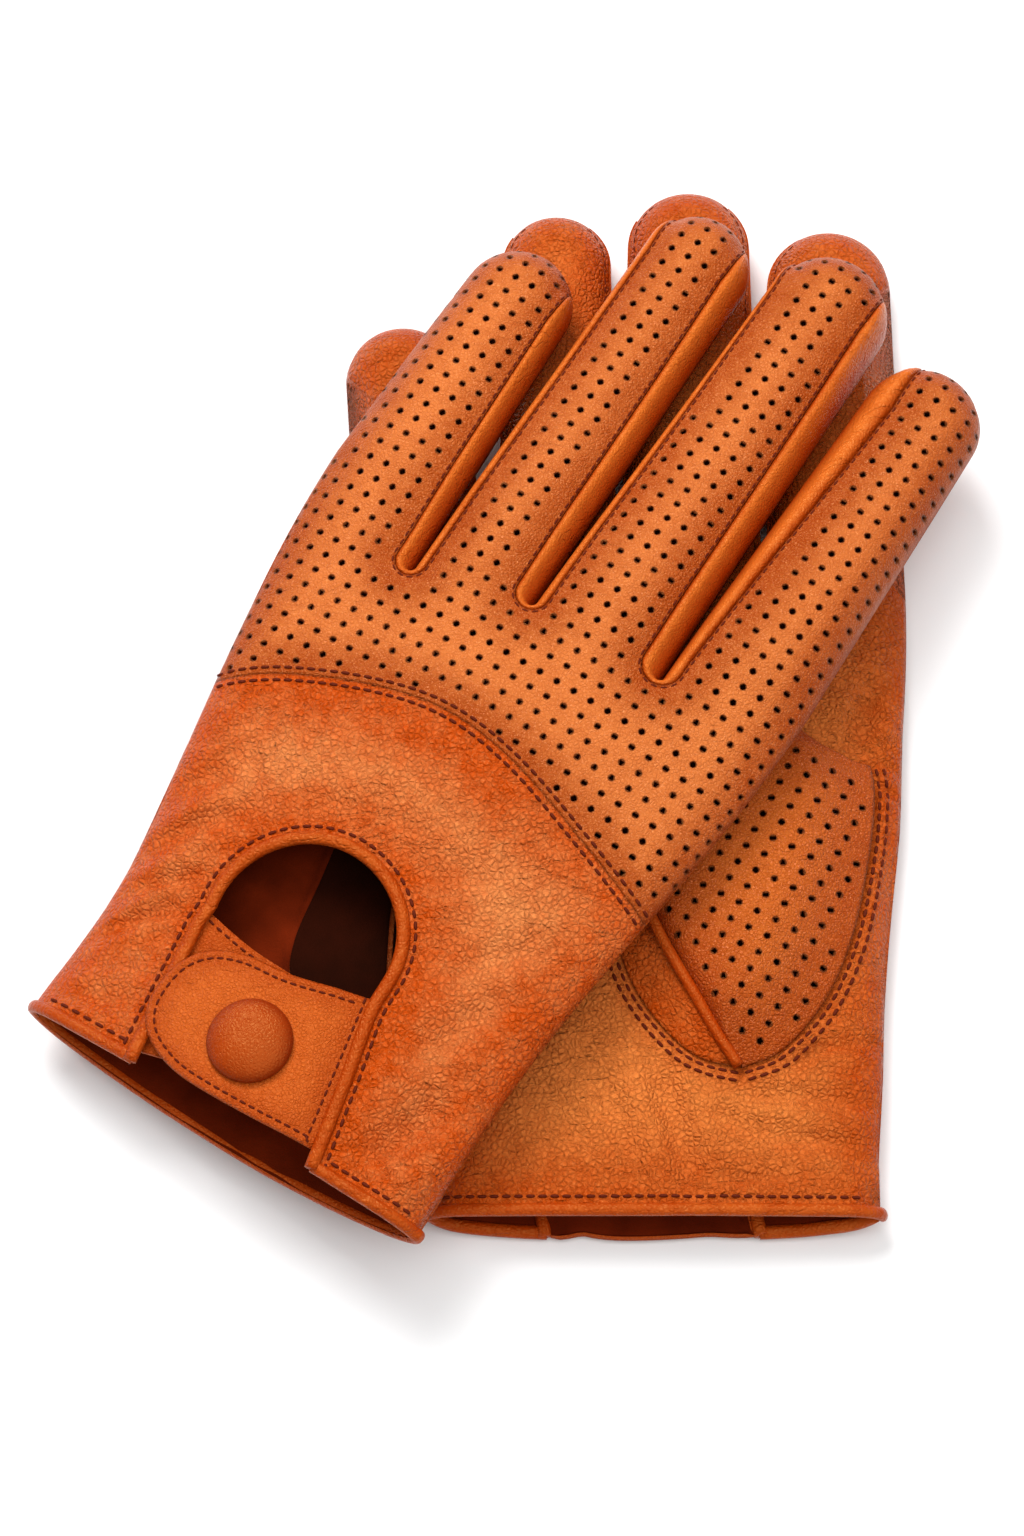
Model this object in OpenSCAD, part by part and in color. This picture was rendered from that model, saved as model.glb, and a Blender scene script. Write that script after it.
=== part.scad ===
// A pair of leather driving gloves. The right glove lies palm up on its back,
// and the left glove rests across it, back up. Each glove is a hollow pouch of
// separate leather panels, with a strap that a snap holds shut over the wrist.
// Millimetres, +Z up, origin under the middle of the pair on the surface.

/* [Glove outline] */
// Length from the cuff edge to the tip of the middle finger
glove_length = 240; // [225:1:255]
// Width across the roots of the fingers, lying flat
root_width = 121; // [112:1:128]
// Width across the cuff, lying flat
cuff_width = 96; // [90:1:102]

/* [Leather] */
// Thickness of every leather panel
leather = 1.2; // [1:0.1:1.4]
// Thickness of the lower glove as it lies
lower_loft = 12; // [12:0.5:14]
// Thickness of the upper glove as it lies
upper_loft = 13; // [13:0.5:15]
// Width of the rolled bindings
binding = 2.7; // [2:0.1:3]

/* [Thumbs] */
// Height of the lower glove's thumb above its palm
lower_thumb = 6; // [5:0.1:6.2]
// Height of the upper glove's thumb, pressed flat under its palm
upper_thumb = 4; // [3.5:0.1:4.2]

/* [Strap and snap] */
// Diameter of the leather-covered snap cap
cap_d = 18.2; // [14:0.1:19]
// Height of the cap's dome above the strap
cap_rise = 3.2; // [2.5:0.1:3.4]
// Diameter of the brass socket under the strap
socket_d = 12; // [9:0.1:13]
// Diameter of the brass stud's head, which the socket grips
stud_head_d = 3.6; // [3:0.1:4]
// How far the lower glove's snap is pressed into its wrist opening
lower_sink = 5.5; // [5.5:0.1:5.8]

/* [Lie of the pair] */
// Angle between the two gloves, seen from above
cross_angle = 32.5; // [28:0.5:36]
// Sideways tilt of the upper glove
roll_angle = 2.9; // [2.8:0.1:3.2]

/* [Hidden] */
$fn = 32;

// Scale of the outline across and along the glove, against a 121 by 240 mm one.
kx = root_width / 121;
ky = glove_length / 240;

// Across the glove, x is negative on the little finger's side.
little_half = 63.8 * kx;
index_half = 57.2 * kx;
side_steps = 14;
hand_top = 140 * ky;

// One finger each: [middle of its root, half its root width, tip x, tip y, tip radius].
fingers_of_lower = [
    [-48.2 * kx, 15.2 * kx, -54.5 * kx, 206 * ky, 13 * kx],
    [-19.5 * kx, 13.1 * kx, -19.5 * kx, 234 * ky, 12.8 * kx],
    [10 * kx, 15.6 * kx, 10.3 * kx, 240 * ky, 14 * kx],
    [41.6 * kx, 15.3 * kx, 42 * kx, 230 * ky, 14 * kx]
];
fingers_of_upper = [
    [-48.2 * kx, 15.2 * kx, -49.5 * kx, 206 * ky, 13 * kx],
    [-19.5 * kx, 13.1 * kx, -19.5 * kx, 232 * ky, 12.8 * kx],
    [10 * kx, 15.6 * kx, 10.3 * kx, 240 * ky, 14 * kx],
    [41.6 * kx, 15.3 * kx, 42 * kx, 230 * ky, 14 * kx]
];
// One gap each: [x at the root, x at the top, y of its foot, y of its top, foot and top widths].
gaps = [
    [-33 * kx, -33.6 * kx, 121 * ky, 188 * ky, 7.2, 8.8],
    [-6 * kx, -6.6 * kx, 127 * ky, 212 * ky, 7.6, 9.2],
    [25.8 * kx, 27.3 * kx, 127 * ky, 208 * ky, 9, 12]
];
gap_slit = 0.8;
slit_above_foot = 4;

// The rounded edge of a glove's pouch, as [depth below the face, inset from the outline].
edge_steps = [[1.2, 2.4], [3, 1]];
inner_edge_inset = 2.8;

// Seam across the back, between the perforated panel and the plain cuff panel.
seam_side_y = 82 * ky;
seam_crown_y = 101 * ky;
seam_crown_x = -8 * kx;

// Wrist opening: a round window over a slit that runs out of the cuff.
window_x = -6.8 * kx;
window_y = 41.5 * ky;
window_r = 20.6 * kx;
slit_left = -27.3 * kx;
slit_right_top = 13.8 * kx;
slit_right_foot = 22 * kx;
slit_lean = (slit_right_foot - slit_right_top) / window_y;
slit_past = 4 * binding;

// Strap: its root lies along the opening's right side, its free end is round.
strap_root_top = [13.6 * kx, 36.9 * ky];
strap_root_foot = [20.1 * kx, 4 * ky];
strap_end = [-12.3 * kx, 17.2 * ky];
strap_end_r = 14 * kx;
strap_bar = 1.2;
snap_at = [-2.8 * kx, 15.8 * ky];
post_d = 3;
rivet_d = 8;
tab_right = 8 * kx;

// Heights of the snap's stack, measured up from the under tab's outer face.
flange_h = 0.5;
socket_from = 0.8;
socket_to = 2;
stud_to = 1.7;
stud_play = 0.35;

// Each glove: [loft, thumb height, snap sink, fingers].
lower = [lower_loft, lower_thumb, lower_sink, fingers_of_lower];
upper = [upper_loft, upper_thumb, 0, fingers_of_upper];

// Places of the cuffs' middles on the surface, and the upper glove's height there.
lower_place = [27.5, -115.7, 0];
upper_place = [-62.1, -98.8, 15];

// How far tools that cut run past the face they cut.
past = 1;

function loft(g) = g[0];
function clamp(t) = min(1, max(0, t));
function ease(t) = (1 - cos(180 * clamp(t))) / 2;
function little_side(y) =
    -cuff_width / 2 - (little_half - cuff_width / 2) * ease((y / ky - 10) / 140);
function index_side(y) =
    cuff_width / 2 - 0.6 + (index_half - cuff_width / 2 + 0.6) * ease((y / ky - 25) / 115);
function tab_face(g) = loft(g) - leather - g[2];

// The hand's outline from the cuff to the roots of the fingers.
module hand_2d() {
    polygon(concat(
        [for (i = [0 : side_steps]) let (y = hand_top * i / side_steps) [little_side(y), y]],
        [for (i = [side_steps : -1 : 0]) let (y = hand_top * i / side_steps) [index_side(y), y]]
    ));
}

module finger_2d(f) {
    hull() {
        translate([f[0] - f[1], hand_top - 26 * ky]) square([2 * f[1], 34 * ky]);
        translate([f[2], f[3] - f[4]]) circle(f[4]);
    }
}

// The strip between two fingers that their fourchette fills.
module gap_2d(gap) {
    hull() {
        translate([gap[0], gap[2] + gap[4] / 2]) circle(gap[4] / 2);
        translate([gap[1], gap[3]]) circle(gap[5] / 2);
    }
}

// The slit that parts two fingers.
module slit_2d(gap) {
    hull() {
        translate([gap[0], gap[2] + slit_above_foot]) circle(gap_slit / 2);
        translate([gap[1], glove_length]) circle(gap_slit / 2);
    }
}

// The whole flat outline, drawn in by inset but not at the open cuff.
module glove_2d(g, inset) {
    offset(delta = -inset) difference() {
        union() {
            hand_2d();
            for (f = g[3]) finger_2d(f);
        }
        for (gap = gaps) slit_2d(gap);
    }
    translate([inset - cuff_width / 2, 0])
        square([cuff_width - 2 * inset - 0.6, 3 * inset + past]);
}

// One slab of a pouch between two heights.
module slab(z0, z1) {
    translate([0, 0, z0]) linear_extrude(z1 - z0) children();
}

// The outside of a pouch, rounded at both faces.
module outer_solid(g) {
    slab(0, edge_steps[0][0]) glove_2d(g, edge_steps[0][1]);
    slab(edge_steps[0][0], edge_steps[1][0]) glove_2d(g, edge_steps[1][1]);
    slab(edge_steps[1][0], loft(g) - edge_steps[1][0]) glove_2d(g, 0);
    slab(loft(g) - edge_steps[1][0], loft(g) - edge_steps[0][0]) glove_2d(g, edge_steps[1][1]);
    slab(loft(g) - edge_steps[0][0], loft(g)) glove_2d(g, edge_steps[0][1]);
}

// The hollow inside a pouch, which runs out of the open cuff.
module inner_solid(g) {
    slab(leather, edge_steps[1][0]) glove_2d(g, inner_edge_inset);
    slab(edge_steps[1][0], loft(g) - edge_steps[1][0]) glove_2d(g, leather);
    slab(loft(g) - edge_steps[1][0], loft(g) - leather) glove_2d(g, inner_edge_inset);
    mouth = cuff_width / 2 - inner_edge_inset;
    translate([-mouth, -past, leather])
        cube([2 * mouth - 0.6, 2 * past, loft(g) - 2 * leather]);
}

module shell(g) {
    difference() {
        outer_solid(g);
        inner_solid(g);
    }
}

// Everything above the back seam, between two heights.
module above_seam(z0, z1) {
    slab(z0, z1) polygon([
        [-2 * little_half, seam_side_y - 12 * ky],
        [-little_half, seam_side_y],
        [-26 * kx, seam_crown_y - 5 * ky],
        [seam_crown_x, seam_crown_y],
        [10 * kx, seam_crown_y - 4 * ky],
        [index_half, seam_side_y],
        [2 * index_half, seam_side_y - 10 * ky],
        [2 * index_half, 1.2 * glove_length],
        [-2 * little_half, 1.2 * glove_length]
    ]);
}

// The wrist opening, grown by a margin.
module opening_2d(grow) {
    offset(delta = grow) {
        translate([window_x, window_y]) circle(window_r);
        polygon([
            [slit_left, window_y], [slit_left, -slit_past],
            [slit_right_foot + slit_past * slit_lean, -slit_past], [slit_right_top, window_y]
        ]);
    }
}

module back_panel(g) {
    color([0.80, 0.42, 0.20]) difference() {
        intersection() {
            shell(g);
            above_seam(loft(g) / 2, loft(g) + past);
        }
        for (gap = gaps) slab(0, loft(g) + past) gap_2d(gap);
    }
}

module cuff_panel(g) {
    color([0.72, 0.34, 0.12]) difference() {
        shell(g);
        slab(-past, loft(g) / 2) square(4 * glove_length, center = true);
        above_seam(0, loft(g) + past);
        slab(0, loft(g) + past) opening_2d(binding);
        translate([-cuff_width, -past, -past]) cube([2 * cuff_width, past + binding, 2 * loft(g)]);
    }
}

module palm_panel(g) {
    color([0.72, 0.34, 0.12]) difference() {
        shell(g);
        slab(loft(g) / 2, loft(g) + past) square(4 * glove_length, center = true);
        for (gap = gaps) slab(edge_steps[1][0], loft(g) + past) gap_2d(gap);
        slab(-past, leather + past) thumb_hole_2d();
        translate([-cuff_width, -past, -past]) cube([2 * cuff_width, past + binding, 2 * loft(g)]);
    }
}

// A fourchette is a U-shaped wall round the slit, with a roll along its outer edge.
module fourchette(g, gap) {
    color([0.68, 0.31, 0.11]) {
        slab(edge_steps[1][0], loft(g) - leather) intersection() {
            gap_2d(gap);
            difference() {
                offset(delta = leather) slit_2d(gap);
                slit_2d(gap);
            }
        }
        slab(loft(g) - leather, loft(g)) difference() {
            gap_2d(gap);
            slit_2d(gap);
        }
    }
}

// The oval hole in the palm that the thumb is sewn round.
module thumb_hole_2d() {
    hull() {
        translate([18 * kx, 46 * ky]) circle(13 * kx);
        translate([31 * kx, 82 * ky]) circle(14 * kx);
    }
}

// The thumb's outline, folded across the palm.
module thumb_2d(inset) {
    offset(delta = -inset) {
        hull() {
            translate([18 * kx, 47 * ky]) circle(16 * kx);
            translate([30 * kx, 84 * ky]) circle(17 * kx);
        }
        hull() {
            translate([26 * kx, 88 * ky]) circle(16 * kx);
            translate([10 * kx, 116 * ky]) circle(12 * kx);
        }
    }
}

// A thumb is a low hollow tube on the palm, open to the hand through the hole.
module thumb_shell(g) {
    difference() {
        union() {
            slab(-g[1], edge_steps[0][0] - g[1]) thumb_2d(edge_steps[0][1]);
            slab(edge_steps[0][0] - g[1], 0) thumb_2d(0);
        }
        slab(leather - g[1], -leather) thumb_2d(inner_edge_inset);
        slab(-2 * leather, past) thumb_hole_2d();
    }
}

// The plain side of the thumb, left of the line where it meets the perforated side.
module gusset_side(g) {
    slab(-g[1] - past, past) polygon([
        [17 * kx, 20 * ky], [-60 * kx, 20 * ky], [-60 * kx, 70 * ky], [-6 * kx, 70 * ky]
    ]);
}

module thumb(g) {
    color([0.74, 0.37, 0.16]) difference() {
        thumb_shell(g);
        gusset_side(g);
    }
}

module thumb_gusset(g) {
    color([0.66, 0.30, 0.10]) intersection() {
        thumb_shell(g);
        gusset_side(g);
    }
}

module keyhole_binding(g) {
    color([0.66, 0.30, 0.10]) difference() {
        slab(loft(g) - leather - 0.3, loft(g)) difference() {
            opening_2d(binding);
            opening_2d(0);
        }
        translate([-cuff_width, -cuff_width, 0]) cube([2 * cuff_width, cuff_width + binding, 2 * loft(g)]);
    }
}

// The cuff's edge binding, a flat ring round the mouth with cut corners.
module cuff_ring_2d(g, inset) {
    half = cuff_width / 2 - inset;
    corner = edge_steps[1][0];
    polygon([
        [-half, corner], [-half + corner, inset], [half - 0.6 - corner, inset], [half - 0.6, corner],
        [half - 0.6, loft(g) - corner], [half - 0.6 - corner, loft(g) - inset],
        [-half + corner, loft(g) - inset], [-half, loft(g) - corner]
    ]);
}

module cuff_binding(g) {
    color([0.66, 0.30, 0.10]) difference() {
        translate([0, binding, 0]) rotate([90, 0, 0]) linear_extrude(binding) difference() {
            cuff_ring_2d(g, 0);
            cuff_ring_2d(g, leather);
        }
        translate([slit_left - binding, -past, loft(g) / 2])
            cube([slit_right_foot - slit_left + 2 * binding, binding + 2 * past, loft(g)]);
    }
}

// The strap's plate, with the bar at its root that turns down beside the binding.
module strap(g) {
    plate = tab_face(g) + socket_to;
    color([0.70, 0.36, 0.15]) difference() {
        union() {
            slab(plate, plate + leather) hull() {
                translate(strap_end) circle(strap_end_r);
                for (p = [strap_root_top, strap_root_foot]) translate(p) circle(strap_bar / 2);
            }
            slab(min(plate, loft(g) - leather), max(plate + leather, loft(g) - 0.3)) hull()
                for (p = [strap_root_top, strap_root_foot]) translate(p) circle(strap_bar / 2);
        }
        translate([snap_at.x, snap_at.y, plate - past]) cylinder(d = post_d, h = leather + 2 * past);
    }
}

// The tab below the strap, which carries the stud. Its root is sewn to the left binding.
module under_tab(g) {
    color([0.66, 0.30, 0.10]) difference() {
        union() {
            slab(tab_face(g) - leather, tab_face(g)) hull() {
                translate([slit_left, 34 * ky]) square([1, 1]);
                translate([slit_left, 3.5 * ky]) square([1, 1]);
                translate([tab_right - 8, 12 * ky]) circle(8);
                translate([tab_right - 8, 20 * ky]) circle(8);
            }
            slab(tab_face(g) - leather, loft(g) - leather / 4)
                translate([slit_left, 3.5 * ky]) square([0.3, 31 * ky]);
        }
        translate([snap_at.x, snap_at.y, tab_face(g) - leather - past])
            cylinder(d = post_d, h = leather + 2 * past);
    }
}

// The leather-covered cap, with the post that clinches it through the strap.
module snap_cap(g) {
    seat = tab_face(g) + socket_to + leather;
    dome_r = (cap_d * cap_d / 4 + cap_rise * cap_rise) / (2 * cap_rise);
    color([0.74, 0.35, 0.13]) translate([snap_at.x, snap_at.y, seat]) {
        intersection() {
            translate([0, 0, cap_rise - dome_r]) sphere(dome_r, $fn = 96);
            cylinder(d = cap_d, h = cap_rise + past);
        }
        translate([0, 0, -leather]) cylinder(d = post_d, h = leather);
    }
}

module snap_socket(g) {
    color([0.72, 0.56, 0.28]) translate([snap_at.x, snap_at.y, tab_face(g) + socket_from])
        difference() {
            cylinder(d = socket_d, h = socket_to - socket_from);
            translate([0, 0, -past]) cylinder(d = stud_head_d + 2 * stud_play, h = 2 * past + stud_to);
        }
}

module snap_stud(g) {
    color([0.72, 0.56, 0.28]) translate([snap_at.x, snap_at.y, tab_face(g)]) {
        cylinder(d = socket_d - 2, h = flange_h);
        cylinder(d = stud_head_d, h = stud_to);
        translate([0, 0, -leather]) cylinder(d = post_d, h = leather);
    }
}

module snap_rivet(g) {
    color([0.72, 0.56, 0.28]) translate([snap_at.x, snap_at.y, tab_face(g) - leather - 0.6])
        cylinder(d = rivet_d, h = 0.6);
}

// A part of the lower glove, turned palm up.
module on_lower() {
    translate(lower_place + [0, 0, lower_loft]) mirror([0, 0, 1]) children();
}

// A part of the upper glove, laid across the lower one.
module on_upper() {
    translate(upper_place) rotate([0, -roll_angle, 0]) rotate([0, 0, -cross_angle]) children();
}

on_lower() back_panel(lower);  // right_back_panel
on_lower() cuff_panel(lower);  // right_cuff_panel
on_lower() palm_panel(lower);  // right_palm_panel
on_lower() fourchette(lower, gaps[0]);  // right_fourchette_little
on_lower() fourchette(lower, gaps[1]);  // right_fourchette_middle
on_lower() fourchette(lower, gaps[2]);  // right_fourchette_index
on_lower() thumb(lower);  // right_thumb
on_lower() thumb_gusset(lower);  // right_thumb_gusset
on_lower() keyhole_binding(lower);  // right_keyhole_binding
on_lower() cuff_binding(lower);  // right_cuff_binding
on_lower() under_tab(lower);  // right_under_tab
on_lower() snap_stud(lower);  // right_snap_stud
on_lower() snap_rivet(lower);  // right_snap_rivet
on_lower() strap(lower);  // right_strap
on_lower() snap_cap(lower);  // right_snap_cap
on_lower() snap_socket(lower);  // right_snap_socket
on_upper() back_panel(upper);  // left_back_panel
on_upper() cuff_panel(upper);  // left_cuff_panel
on_upper() palm_panel(upper);  // left_palm_panel
on_upper() fourchette(upper, gaps[0]);  // left_fourchette_little
on_upper() fourchette(upper, gaps[1]);  // left_fourchette_middle
on_upper() fourchette(upper, gaps[2]);  // left_fourchette_index
on_upper() thumb(upper);  // left_thumb
on_upper() thumb_gusset(upper);  // left_thumb_gusset
on_upper() keyhole_binding(upper);  // left_keyhole_binding
on_upper() cuff_binding(upper);  // left_cuff_binding
on_upper() under_tab(upper);  // left_under_tab
on_upper() snap_stud(upper);  // left_snap_stud
on_upper() snap_rivet(upper);  // left_snap_rivet
on_upper() strap(upper);  // left_strap
on_upper() snap_cap(upper);  // left_snap_cap
on_upper() snap_socket(upper);  // left_snap_socket
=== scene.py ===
"""Looks for a crossed pair of leather driving gloves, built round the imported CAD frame.

Each glove is worked out flat, in millimetres, in its own frame: x across (little finger on the
minus side), y from the cuff to the fingertips, z from the palm up to the back. It is then laid
in the row frame, the upper glove turned across the lower one, which is mirrored palm up.
"""
import math
from collections import namedtuple

import bmesh
import bpy
import numpy as np
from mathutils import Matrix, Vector, geometry


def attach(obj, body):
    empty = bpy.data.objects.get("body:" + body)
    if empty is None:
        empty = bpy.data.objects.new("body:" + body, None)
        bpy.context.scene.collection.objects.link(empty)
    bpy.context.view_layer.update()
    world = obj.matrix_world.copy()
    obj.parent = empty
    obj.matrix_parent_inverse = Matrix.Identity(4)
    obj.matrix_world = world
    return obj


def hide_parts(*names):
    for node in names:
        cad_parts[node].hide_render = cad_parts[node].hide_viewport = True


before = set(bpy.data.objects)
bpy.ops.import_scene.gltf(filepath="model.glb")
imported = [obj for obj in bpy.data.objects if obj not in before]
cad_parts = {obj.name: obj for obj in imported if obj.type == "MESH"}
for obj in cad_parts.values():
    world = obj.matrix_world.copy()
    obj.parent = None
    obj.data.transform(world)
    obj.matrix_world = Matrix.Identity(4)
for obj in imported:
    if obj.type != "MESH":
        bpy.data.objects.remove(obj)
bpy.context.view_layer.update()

MM = 0.001
TINY = 1e-9
CHUNK = 2000

# Places of a sheet's loose points: shares of an edge's radius, rows beside a seam, clearances.
EDGE_SHARES = (0.02, 0.08, 0.18, 0.32, 0.5, 0.72, 0.95)
SEAM_ROWS = (-1.6, -0.8, 0.0, 0.8, 1.6)
SEAM_CLEAR, OUTLINE_CLEAR, HOLE_CLEAR, COLLAR = 2.0, 0.35, 0.62, 0.42
LEAST_AREA = 1e-4

# ---------------------------------------------------------------- sizes, in millimetres

LEATHER = 1.1
GAP_WALL = 0.9
CUFF_HALF = 48.0
INDEX_CUFF_HALF = CUFF_HALF - 0.6
LITTLE_HALF = 63.8
INDEX_HALF = 57.2
HAND_TOP = 140.0
EDGE_R = 7.6
THUMB_EDGE_R = 5.0
STRAP_EDGE_R = 2.6

Finger = namedtuple("Finger", "root_x half tip_x tip_y tip_r")
FINGERS_UPPER = [
    Finger(-48.0, 15.2, -49.4, 203.5, 12.6),
    Finger(-19.5, 13.1, -20.3, 231.5, 12.2),
    Finger(10.0, 15.6, 10.3, 239.0, 13.6),
    Finger(41.6, 15.3, 41.4, 227.0, 13.4),
]
FINGERS_LOWER = [
    Finger(-48.2, 15.2, -54.5, 206.0, 12.8),
    Finger(-19.5, 13.1, -19.8, 234.0, 12.4),
    Finger(10.0, 15.6, 10.3, 240.0, 13.8),
    Finger(41.6, 15.3, 42.0, 230.0, 14.0),
]
# One gap: its middle, the y of its foot, and the x of the seams on its two sides.
Gap = namedtuple("Gap", "x foot foot_seams top_seams")
GAPS = [
    Gap(-33.2, 121.0, (-37.2, -29.8), (-39.6, -29.8)),
    Gap(-6.3, 127.4, (-10.4, -2.6), (-12.2, -1.6)),
    Gap(26.0, 127.4, (21.2, 30.4), (19.6, 35.6)),
]
GAP_NAMES = ["little", "middle", "index"]
SLIT_ABOVE_FOOT = 2.5
SLIT_HALF = 0.25

# The wrist opening: a round window over a slit that widens to the cuff.
WINDOW_X, WINDOW_Y, WINDOW_R = -6.8, 41.5, 20.6
SLIT_TOP_Y = 37
SLIT_LEFT_TOP, SLIT_LEFT_FOOT = -27.2, -22.4
SLIT_RIGHT_TOP, SLIT_RIGHT_FOOT = 13.8, 22.0

CAP_X, CAP_Y, CAP_R, CAP_RISE = -2.8, 15.8, 9.1, 3.2
STRAP_ABOVE_TAB = 3.2

HOLE_R = 0.725
HOLE_PITCH = (4.25, 4.05)
HOLE_SIDES = 10
SEAM_TO_HOLE = 2.4
THUMB_SEAM_TO_HOLE = 2.3
THUMB_LEAN = -27
PANEL_END = 0.5
CUFF_ROW, PALM_ROW, ROW_END = 3.4, 3.6, 3
SEAM_ROW_NEAR, SEAM_ROW_FAR = 1.2, 2.9

# How far the flat faces fall away at the sides, and rise along the hand and the fingers.
BACK_FALL, PALM_FALL = 3.4, 3.0
HAND_CROWN, FINGER_CROWN, PALM_FINGER_CROWN = 2.6, 2.4, 1.6
SEAM_GROOVE, SEAM_GROOVE_HALF = 0.9, 2.2

# How the empty leather lies: heights lost by the upper glove, and shifts in plan.
SIDE_SAG = 7.5
TIP_SAG, INDEX_TIP_SAG = 3.2, 5.0
CORNER_TUCK = 2.4
MOUTH_SHIFT = 3.2
PALM_BULGE = 1.6


class Glove:
    """One glove: its sizes, its outlines and seams, and how it lies in the row frame."""

    def __init__(self, side, fingers, gusset, mirrored, origin, turn, roll, **sizes):
        self.side = side
        self.fingers = fingers
        self.gusset = gusset
        self.mirrored = mirrored
        self.origin = np.array(origin)
        self.turn = math.radians(turn)
        self.roll = math.radians(roll)
        for name, value in sizes.items():
            setattr(self, name, value)
        self.mid = self.thick / 2
        self.strap_face = self.tab_face + STRAP_ABOVE_TAB
        sides = list(zip(GAPS, fingers, fingers[1:]))
        self.seams = [gap_seam(*side) for side in sides]
        self.palm_seams = [palm_seam(*side) for side in sides]
        self.outer = outer_edges(fingers)
        self.rim = whole_rim(fingers)

    def place(self, points):
        """Local millimetres to row-frame metres."""
        p = self.drape(np.array(points, float).reshape(-1, 3))
        if self.mirrored:
            p[:, 2] = self.thick - p[:, 2]
        else:
            c, s = math.cos(self.turn), math.sin(self.turn)
            x = p[:, 0] * c + p[:, 1] * s
            y = p[:, 1] * c - p[:, 0] * s
            c, s = math.cos(self.roll), math.sin(self.roll)
            z = p[:, 2]
            p = np.stack([x * c - z * s, y, x * s + z * c], 1)
        return (p + self.origin) * MM

    def drape(self, p):
        """The soft lie of the leather: heights lost, and small shifts in plan."""
        p = p.copy()
        x, y, z = p[:, 0], p[:, 1], p[:, 2]
        if self.mirrored:
            # Its back slides out at the mouth, and its palm bulges beside the thumb.
            back = smooth(self.mid - 2, self.mid + 4, z) * smooth(24, 0, y)
            p[:, 1] = y - MOUTH_SHIFT * back * np.clip(1 - (x / 47) ** 2, 0, 1) ** 0.5
            beside_thumb = smooth(8, 35, y) * smooth(112, 80, y) * smooth(20, 50, x)
            p[:, 0] = x + PALM_BULGE * beside_thumb
        else:
            # Its cuff sags over the lower glove's edge, and its fingertips hang.
            side = np.clip((-4 - x) / 44, 0, 1.4) ** 1.3 * smooth(75, 5, y)
            tips = smooth(115, 240, y) * (TIP_SAG + INDEX_TIP_SAG * smooth(-30, 50, x))
            p[:, 2] = z - SIDE_SAG * side - tips
            p[:, 0] = x - CORNER_TUCK * smooth(40, 0, y) * smooth(-18, -48, x)
        return p


# ---------------------------------------------------------------- arithmetic

def smooth(a, b, t):
    """0 before a, 1 after b, and a smooth step between."""
    u = np.clip((np.asarray(t, float) - a) / (b - a), 0, 1)
    return u * u * (3 - 2 * u)


def ease(u):
    """0 to 1 along half a cosine wave."""
    return (1 - math.cos(math.pi * min(1, max(0, u)))) / 2


def bell(d, wide):
    return np.exp(-((d / wide) ** 2))


def plan(points):
    """The x and y of points."""
    return np.asarray(points, float)[:, :2]


def unit(rows):
    return rows / (np.linalg.norm(rows, axis=1)[:, None] + TINY)


def tangents(path):
    return unit(np.gradient(np.asarray(path, float), axis=0))


def sideways(path):
    """Unit steps to the right of a plan path's direction."""
    t = tangents(plan(path))
    return np.stack([t[:, 1], -t[:, 0]], 1)


def chunks(count):
    return [slice(start, start + CHUNK) for start in range(0, count, CHUNK)]


def circle(count, turn=0.0):
    """Points of a unit circle."""
    return np.array([(math.cos(a), math.sin(a)) for a in (np.arange(count) + turn) * math.tau / count])


# ---------------------------------------------------------------- outlines

def little_side(y):
    return -CUFF_HALF - (LITTLE_HALF - CUFF_HALF) * ease((y - 10) / 140)


def index_side(y):
    return INDEX_CUFF_HALF + (INDEX_HALF - INDEX_CUFF_HALF) * ease((y - 25) / 115)


def arc(cx, cy, r, a0, a1, step=1.2):
    """Points on an arc, angles in degrees."""
    n = max(2, int(abs(math.radians(a1 - a0)) * r / step))
    angles = [math.radians(a0 + (a1 - a0) * i / n) for i in range(n + 1)]
    return [(cx + r * math.cos(a), cy + r * math.sin(a)) for a in angles]


def line(a, b, step=1.6):
    n = max(1, int(math.dist(a, b) / step))
    return [tuple(a[k] + (b[k] - a[k]) * i / n for k in range(len(a))) for i in range(n + 1)]


def chain(*runs):
    """Joins runs of points, dropping repeats where they meet."""
    out = []
    for run in runs:
        for p in run:
            if not out or math.dist(out[-1], p) > 0.05:
                out.append(tuple(p))
    return out


def bend(a, b, c, n=8):
    """A quadratic curve from a to c, drawn towards b."""
    return [
        tuple((1 - t) ** 2 * a[k] + 2 * t * (1 - t) * b[k] + t * t * c[k] for k in range(2))
        for t in (i / n for i in range(n + 1))
    ]


def tip(f, a0=180, a1=0, grow=0):
    return arc(f.tip_x, f.tip_y - f.tip_r, f.tip_r + grow, a0, a1)


def tip_side(f, side, inset=0.0):
    """Where a finger's straight side meets its round tip."""
    return (f.tip_x + side * f.tip_r + inset, f.tip_y - f.tip_r)


def slit_foot(gap, side):
    return (gap.x + side * SLIT_HALF, gap.foot + SLIT_ABOVE_FOOT)


def seam_angle(f, x):
    """Angle round a fingertip at which a seam at this x meets its silhouette."""
    return math.degrees(math.acos(max(-0.98, min(0.98, (x - f.tip_x) / f.tip_r))))


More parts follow.
